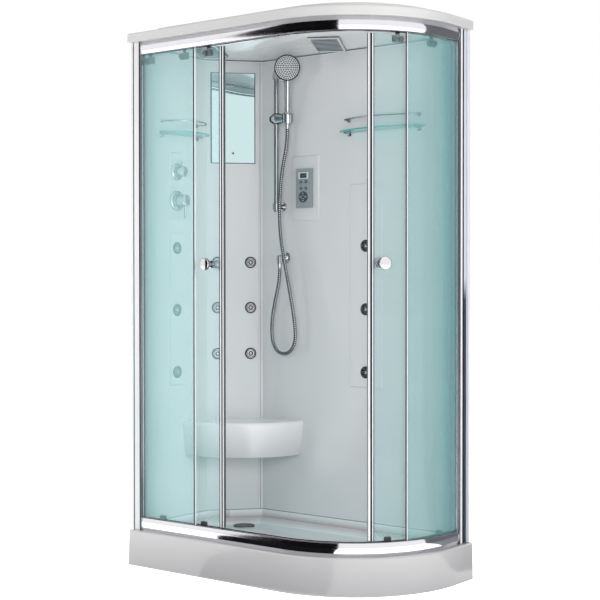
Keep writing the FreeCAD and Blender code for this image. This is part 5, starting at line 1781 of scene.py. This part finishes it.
@dataclass
class ControlPanel:
    """The control panel with its window and keys."""

    centre: float = -0.153
    pad: float = 0.005
    thick: float = 0.016
    key_out: float = 0.003
    keys: tuple[tuple[str, float, float], ...] = (
        ("power_key", -0.013, 1.511), ("light_key", 0.013, 1.511),
        ("fan_key", -0.013, 1.485), ("radio_key", 0.013, 1.485))
    sign_high: float = 0.00015
    power_ring: tuple[float, float] = (0.0022, 0.0029)
    light_dot: float = 0.0014
    cursor_z: float = 1.450
    cursor_high: float = 0.0002
    cursor_ring: tuple[float, float] = (0.0078, 0.0086)
    arrow: tuple[tuple[float, float], ...] = (
        (0.0175, 0.0), (0.0130, 0.0032), (0.0130, -0.0032))
    display_z: float = 1.536
    window_half: tuple[float, float] = (0.017, 0.0095)  # half its width and its height
    glass_high: float = 0.0004
    digit_xs: tuple[float, ...] = (-0.0115, -0.0035, 0.0045, 0.0125)

    def face_place(self, s: float, z: float, out: float) -> Matrix:
        """A frame on the panel's face: +Z to the room, +Y up.

        Args:
            s: place along the wall from the panel's middle.
            z: height.
            out: distance in front of the panel's face.

        Returns:
            The matrix from that frame to the cabin's.
        """
        y = PLAN.wall_y - self.pad - self.thick - out
        return Matrix.Translation((self.centre + s, y, z)) @ Matrix.Rotation(math.pi / 2, 4, "X")

    def marks(self) -> None:
        """Generic signs on the keys: a ring, a dot with rays, a cross and a row of bars."""
        high = self.sign_high
        for name, s, z in self.keys:
            place = self.face_place(s, z, self.key_out)
            shape = Shape()
            if name == "power_key":
                shape.turned(washer(*self.power_ring, 0.0, high), 24, place)
            elif name == "light_key":
                shape.turned(disc(self.light_dot, high), 16, place)
                for k in range(6):
                    ray = place @ Matrix.Rotation(k * math.pi / 3, 4, "Z")
                    shape.box((0.0022, -0.0003, 0), (0.0034, 0.0003, high), ray)
            elif name == "fan_key":
                for k in range(4):
                    blade = place @ Matrix.Rotation(k * math.pi / 2, 4, "Z")
                    shape.box((0.0006, -0.0008, 0), (0.0034, 0.0004, high), blade)
            else:
                for k, tall in enumerate((0.0012, 0.0024, 0.0036)):
                    x = -0.0026 + k * 0.002
                    shape.box((x, -0.002, 0), (x + 0.001, tall - 0.002, high), place)
            shape.piece(name + "_mark", Body(name), FINISH.mark, slot="key_plastic")

    def cursor(self) -> None:
        """Four arrow heads and a ring on the round pad."""
        high = self.cursor_high
        place = self.face_place(0.0, self.cursor_z, self.key_out)
        shape = Shape().turned(washer(*self.cursor_ring, 0, high), 40, place)
        for k in range(4):
            arm = place @ Matrix.Rotation(k * math.pi / 2, 4, "Z")
            shape.plate(np.array(self.arrow), 0.0, high, arm)
        shape.piece("cursor_marks", Body.CURSOR_KEY, FINISH.mark, slot="key_plastic")

    def display(self) -> None:
        """The light bezel, the dark window and a row of seven-part digits at rest."""
        refine("panel_display", "display_bezel", FINISH.bezel, 0.0004)
        place = self.face_place(0.0, self.display_z, 0.0)
        w, h = self.window_half
        glass = self.glass_high
        Shape().box((-w, -h, -0.0005), (w, h, glass), place).piece(
            "display_glass", Body.CABIN, FINISH.window, bevel=0.0002, slot="display")
        bars = Shape()
        for d in self.digit_xs:
            for x, y, (w, h) in ([(-0.002, y, (0.004, 0.0005)) for y in (0.0, 0.0048, -0.0048)]
                                 + [(x, y, (0.0006, 0.0040)) for y in (0.0024, -0.0024)
                                    for x in (-0.0026, 0.0020)]):
                low = (d + x, y - h / 2, glass)
                bars.box(low, (d + x + w, y + h / 2, glass + 0.0001), place)
        bars.piece("display_digits", Body.CABIN, FINISH.digits, slot="display")

    def build(self) -> None:
        """Make the panel."""
        refine("panel_housing", "panel_case", FINISH.panel, 0.0015)
        names = [name for name, _, _ in self.keys] + ["cursor_key"]
        refine_all("key_plastic", 35.0, *((name, name + "_cap", FINISH.key, 0.0)
                                          for name in names))
        self.display()
        self.marks()
        self.cursor()


@dataclass(frozen=True)
class Lamp:
    """A square soft lamp pointed at a spot."""

    name: str
    spot: tuple[float, float, float]
    aim: tuple[float, float, float]
    size: float
    watts: float

    def build(self) -> None:
        """Hang the lamp, which mirrors don't show."""
        data = bpy.data.lights.new(self.name, "AREA")
        data.size = self.size
        data.energy = self.watts
        lamp = bpy.data.objects.new(self.name, data)
        lamp.visible_glossy = False
        bpy.context.scene.collection.objects.link(lamp)
        spot = Vector(self.spot)
        turn = (Vector(self.aim) - spot).to_track_quat("-Z", "Y").to_matrix().to_4x4()
        lamp.matrix_world = Matrix.Translation(spot) @ turn


def staged(name: str, points: list[tuple[float, float, float]], faces: list[Sequence[int]],
           board: ShaderBoard) -> bpy.types.Object:
    """Put a sheet of the studio into the scene.

    Args:
        name: its name.
        points: its points.
        faces: lists of places among the points.
        board: its material.

    Returns:
        The new object.
    """
    mesh = bpy.data.meshes.new(name)
    mesh.from_pydata(points, [], faces)
    mesh.materials.append(board.material)
    sheet = bpy.data.objects.new(name, mesh)
    bpy.context.scene.collection.objects.link(sheet)
    return sheet


@dataclass(frozen=True)
class Card:
    """A card that lies on the floor and stands up behind, seen only in reflections."""

    name: str
    left: float
    right: float
    near: float
    tone: Colour
    far: float = 6.2
    high: float = 9.5
    lift: float = 0.004
    steps: int = 24

    def build(self) -> None:
        """Set up the card.

        Formula: a profile of (distance, height) from the arc's centre, out along
        the floor and then up, carried between two bearings.
        """
        a = np.radians(np.linspace(self.left, self.right, self.steps))[None, :]
        profile = np.array([(self.near, self.lift), (self.far, self.lift), (self.far, self.high)])
        x = PLAN.arc_x + profile[:, :1] * np.sin(a)
        y = PLAN.arc_y - profile[:, :1] * np.cos(a)
        z = np.repeat(profile[:, 1:], self.steps, axis=1)
        board = ShaderBoard(self.name)
        board.set(Base_Color=self.tone, Roughness=0.9, Specular_IOR_Level=0.0)
        shape = Shape().grid(np.stack([x, y, z], axis=-1))
        card = staged(self.name, shape.points[0].tolist(), shape.faces, board)
        card.visible_camera = False
        card.visible_diffuse = False
        card.visible_transmission = False
        card.visible_shadow = False


@dataclass
class Studio:
    """Floor, lamps, reflectors and the camera at the photograph's viewpoint."""

    eye: tuple[float, float, float] = (3.0695, -3.9631, 1.1079)
    yaw: float = 0.6556
    pitch: float = -0.0139
    roll: float = -0.0006
    lens: float = 78.84
    sensor: float = 36.0
    floor_half: float = 40.0
    floor_lift: float = 1.0
    sky: Colour = (0.96, 0.98, 1.0)
    sky_light: float = 0.27
    lamps: tuple[Lamp, ...] = (
        Lamp("right_lamp", (4.3, -1.1, 1.8), (-0.3, 0, 1.0), 2.2, 116.0),
        Lamp("left_lamp", (-2.3, -2.3, 1.3), (-0.3, 0, 0.8), 1.6, 50.0),
        Lamp("front_lamp", (2.0, -3.4, 1.5), (-0.3, 0, 1.0), 1.6, 43.0),
        Lamp("top_lamp", (0.3, -0.9, 3.6), (-0.2, 0, 0.5), 1.4, 7.0),
        Lamp("back_lamp", (-1.6, 3.4, 2.2), (0.0, 0.3, 1.1), 1.8, 95.0))
    cards: tuple[Card, ...] = (
        Card("dark_card", -38.5, 24.0, 0.48, (0.01, 0.01, 0.012)),
        Card("side_card", 112.0, 150.0, 0.6, (0.30, 0.31, 0.33)))

    def camera(self) -> None:
        """The camera, level with the cabin's middle, to its front right."""
        data = bpy.data.cameras.new("camera")
        data.lens = self.lens
        data.sensor_width = self.sensor
        camera = bpy.data.objects.new("camera", data)
        bpy.context.scene.collection.objects.link(camera)
        flat = math.cos(self.pitch)
        ahead = Vector((-math.sin(self.yaw) * flat, math.cos(self.yaw) * flat,
                        math.sin(self.pitch)))
        roll = Matrix.Rotation(self.roll, 4, "Z")
        turn = ahead.to_track_quat("-Z", "Y").to_matrix().to_4x4() @ roll
        camera.matrix_world = Matrix.Translation(self.eye) @ turn
        bpy.context.scene.camera = camera

    def world(self) -> None:
        """A pale world: white to the camera, mirrors and glass, softer as light."""
        world = bpy.data.worlds.new("studio")
        bpy.context.scene.world = world
        world.use_nodes = True
        tree = world.node_tree
        tree.nodes.clear()
        out, mix, light, seen, path, first, second = (
            tree.nodes.new("ShaderNode" + kind) for kind in
            ("OutputWorld", "MixShader", "Background", "Background", "LightPath", "Math", "Math"))
        light.inputs["Color"].default_value = (*self.sky, 1)
        light.inputs["Strength"].default_value = self.sky_light
        seen.inputs["Color"].default_value = (1, 1, 1, 1)
        seen.inputs["Strength"].default_value = 1.0
        first.operation = second.operation = "MAXIMUM"
        for source, target in ((path.outputs["Is Camera Ray"], first.inputs[0]),
                               (path.outputs["Is Glossy Ray"], first.inputs[1]),
                               (first.outputs[0], second.inputs[0]),
                               (path.outputs["Is Transmission Ray"], second.inputs[1]),
                               (second.outputs[0], mix.inputs["Fac"]),
                               (light.outputs[0], mix.inputs[1]),
                               (seen.outputs[0], mix.inputs[2]),
                               (mix.outputs[0], out.inputs["Surface"])):
            tree.links.new(source, target)

    def floor(self) -> None:
        """A floor as white to the camera and in reflections as the world behind it."""
        board = ShaderBoard("floor_white")
        tone = board.blend(board.spread(board.noise(0.6), 0.0, 1.0),
                           (0.84, 0.84, 0.84), (0.86, 0.86, 0.86))
        board.set(Base_Color=tone, Roughness=0.9)
        glow = board.node("Math", {"operation": "MULTIPLY"}, i0=board.seen(), i1=self.floor_lift)
        board.set(Emission_Color=(1.0, 1.0, 1.0), Emission_Strength=glow.outputs["Value"])
        r = self.floor_half
        staged("floor", [(-r, -r, 0), (r, -r, 0), (r, r, 0), (-r, r, 0)], [(0, 1, 2, 3)], board)

    def build(self) -> None:
        """Set the light, the floor and the cards."""
        bpy.context.scene.view_settings.view_transform = "Standard"
        self.world()
        self.floor()
        for part in (*self.lamps, *self.cards):
            part.build()


def main() -> None:
    """Build the stage and every sub-assembly in order, and report each piece."""
    studio = Studio()
    studio.camera()
    for part in (ShowerSet(), studio, MouldedShells(), Underside(), Rails(), FixedPanes(), Doors(),
                 MassageJets(), WallFittings(), ControlPanel()):
        before = set(bpy.data.objects.keys())
        part.build()
        for name in bpy.data.objects.keys():
            if name not in before:
                log.info("%s: %s", type(part).__name__, name)


if __name__ == "__main__":
    main()
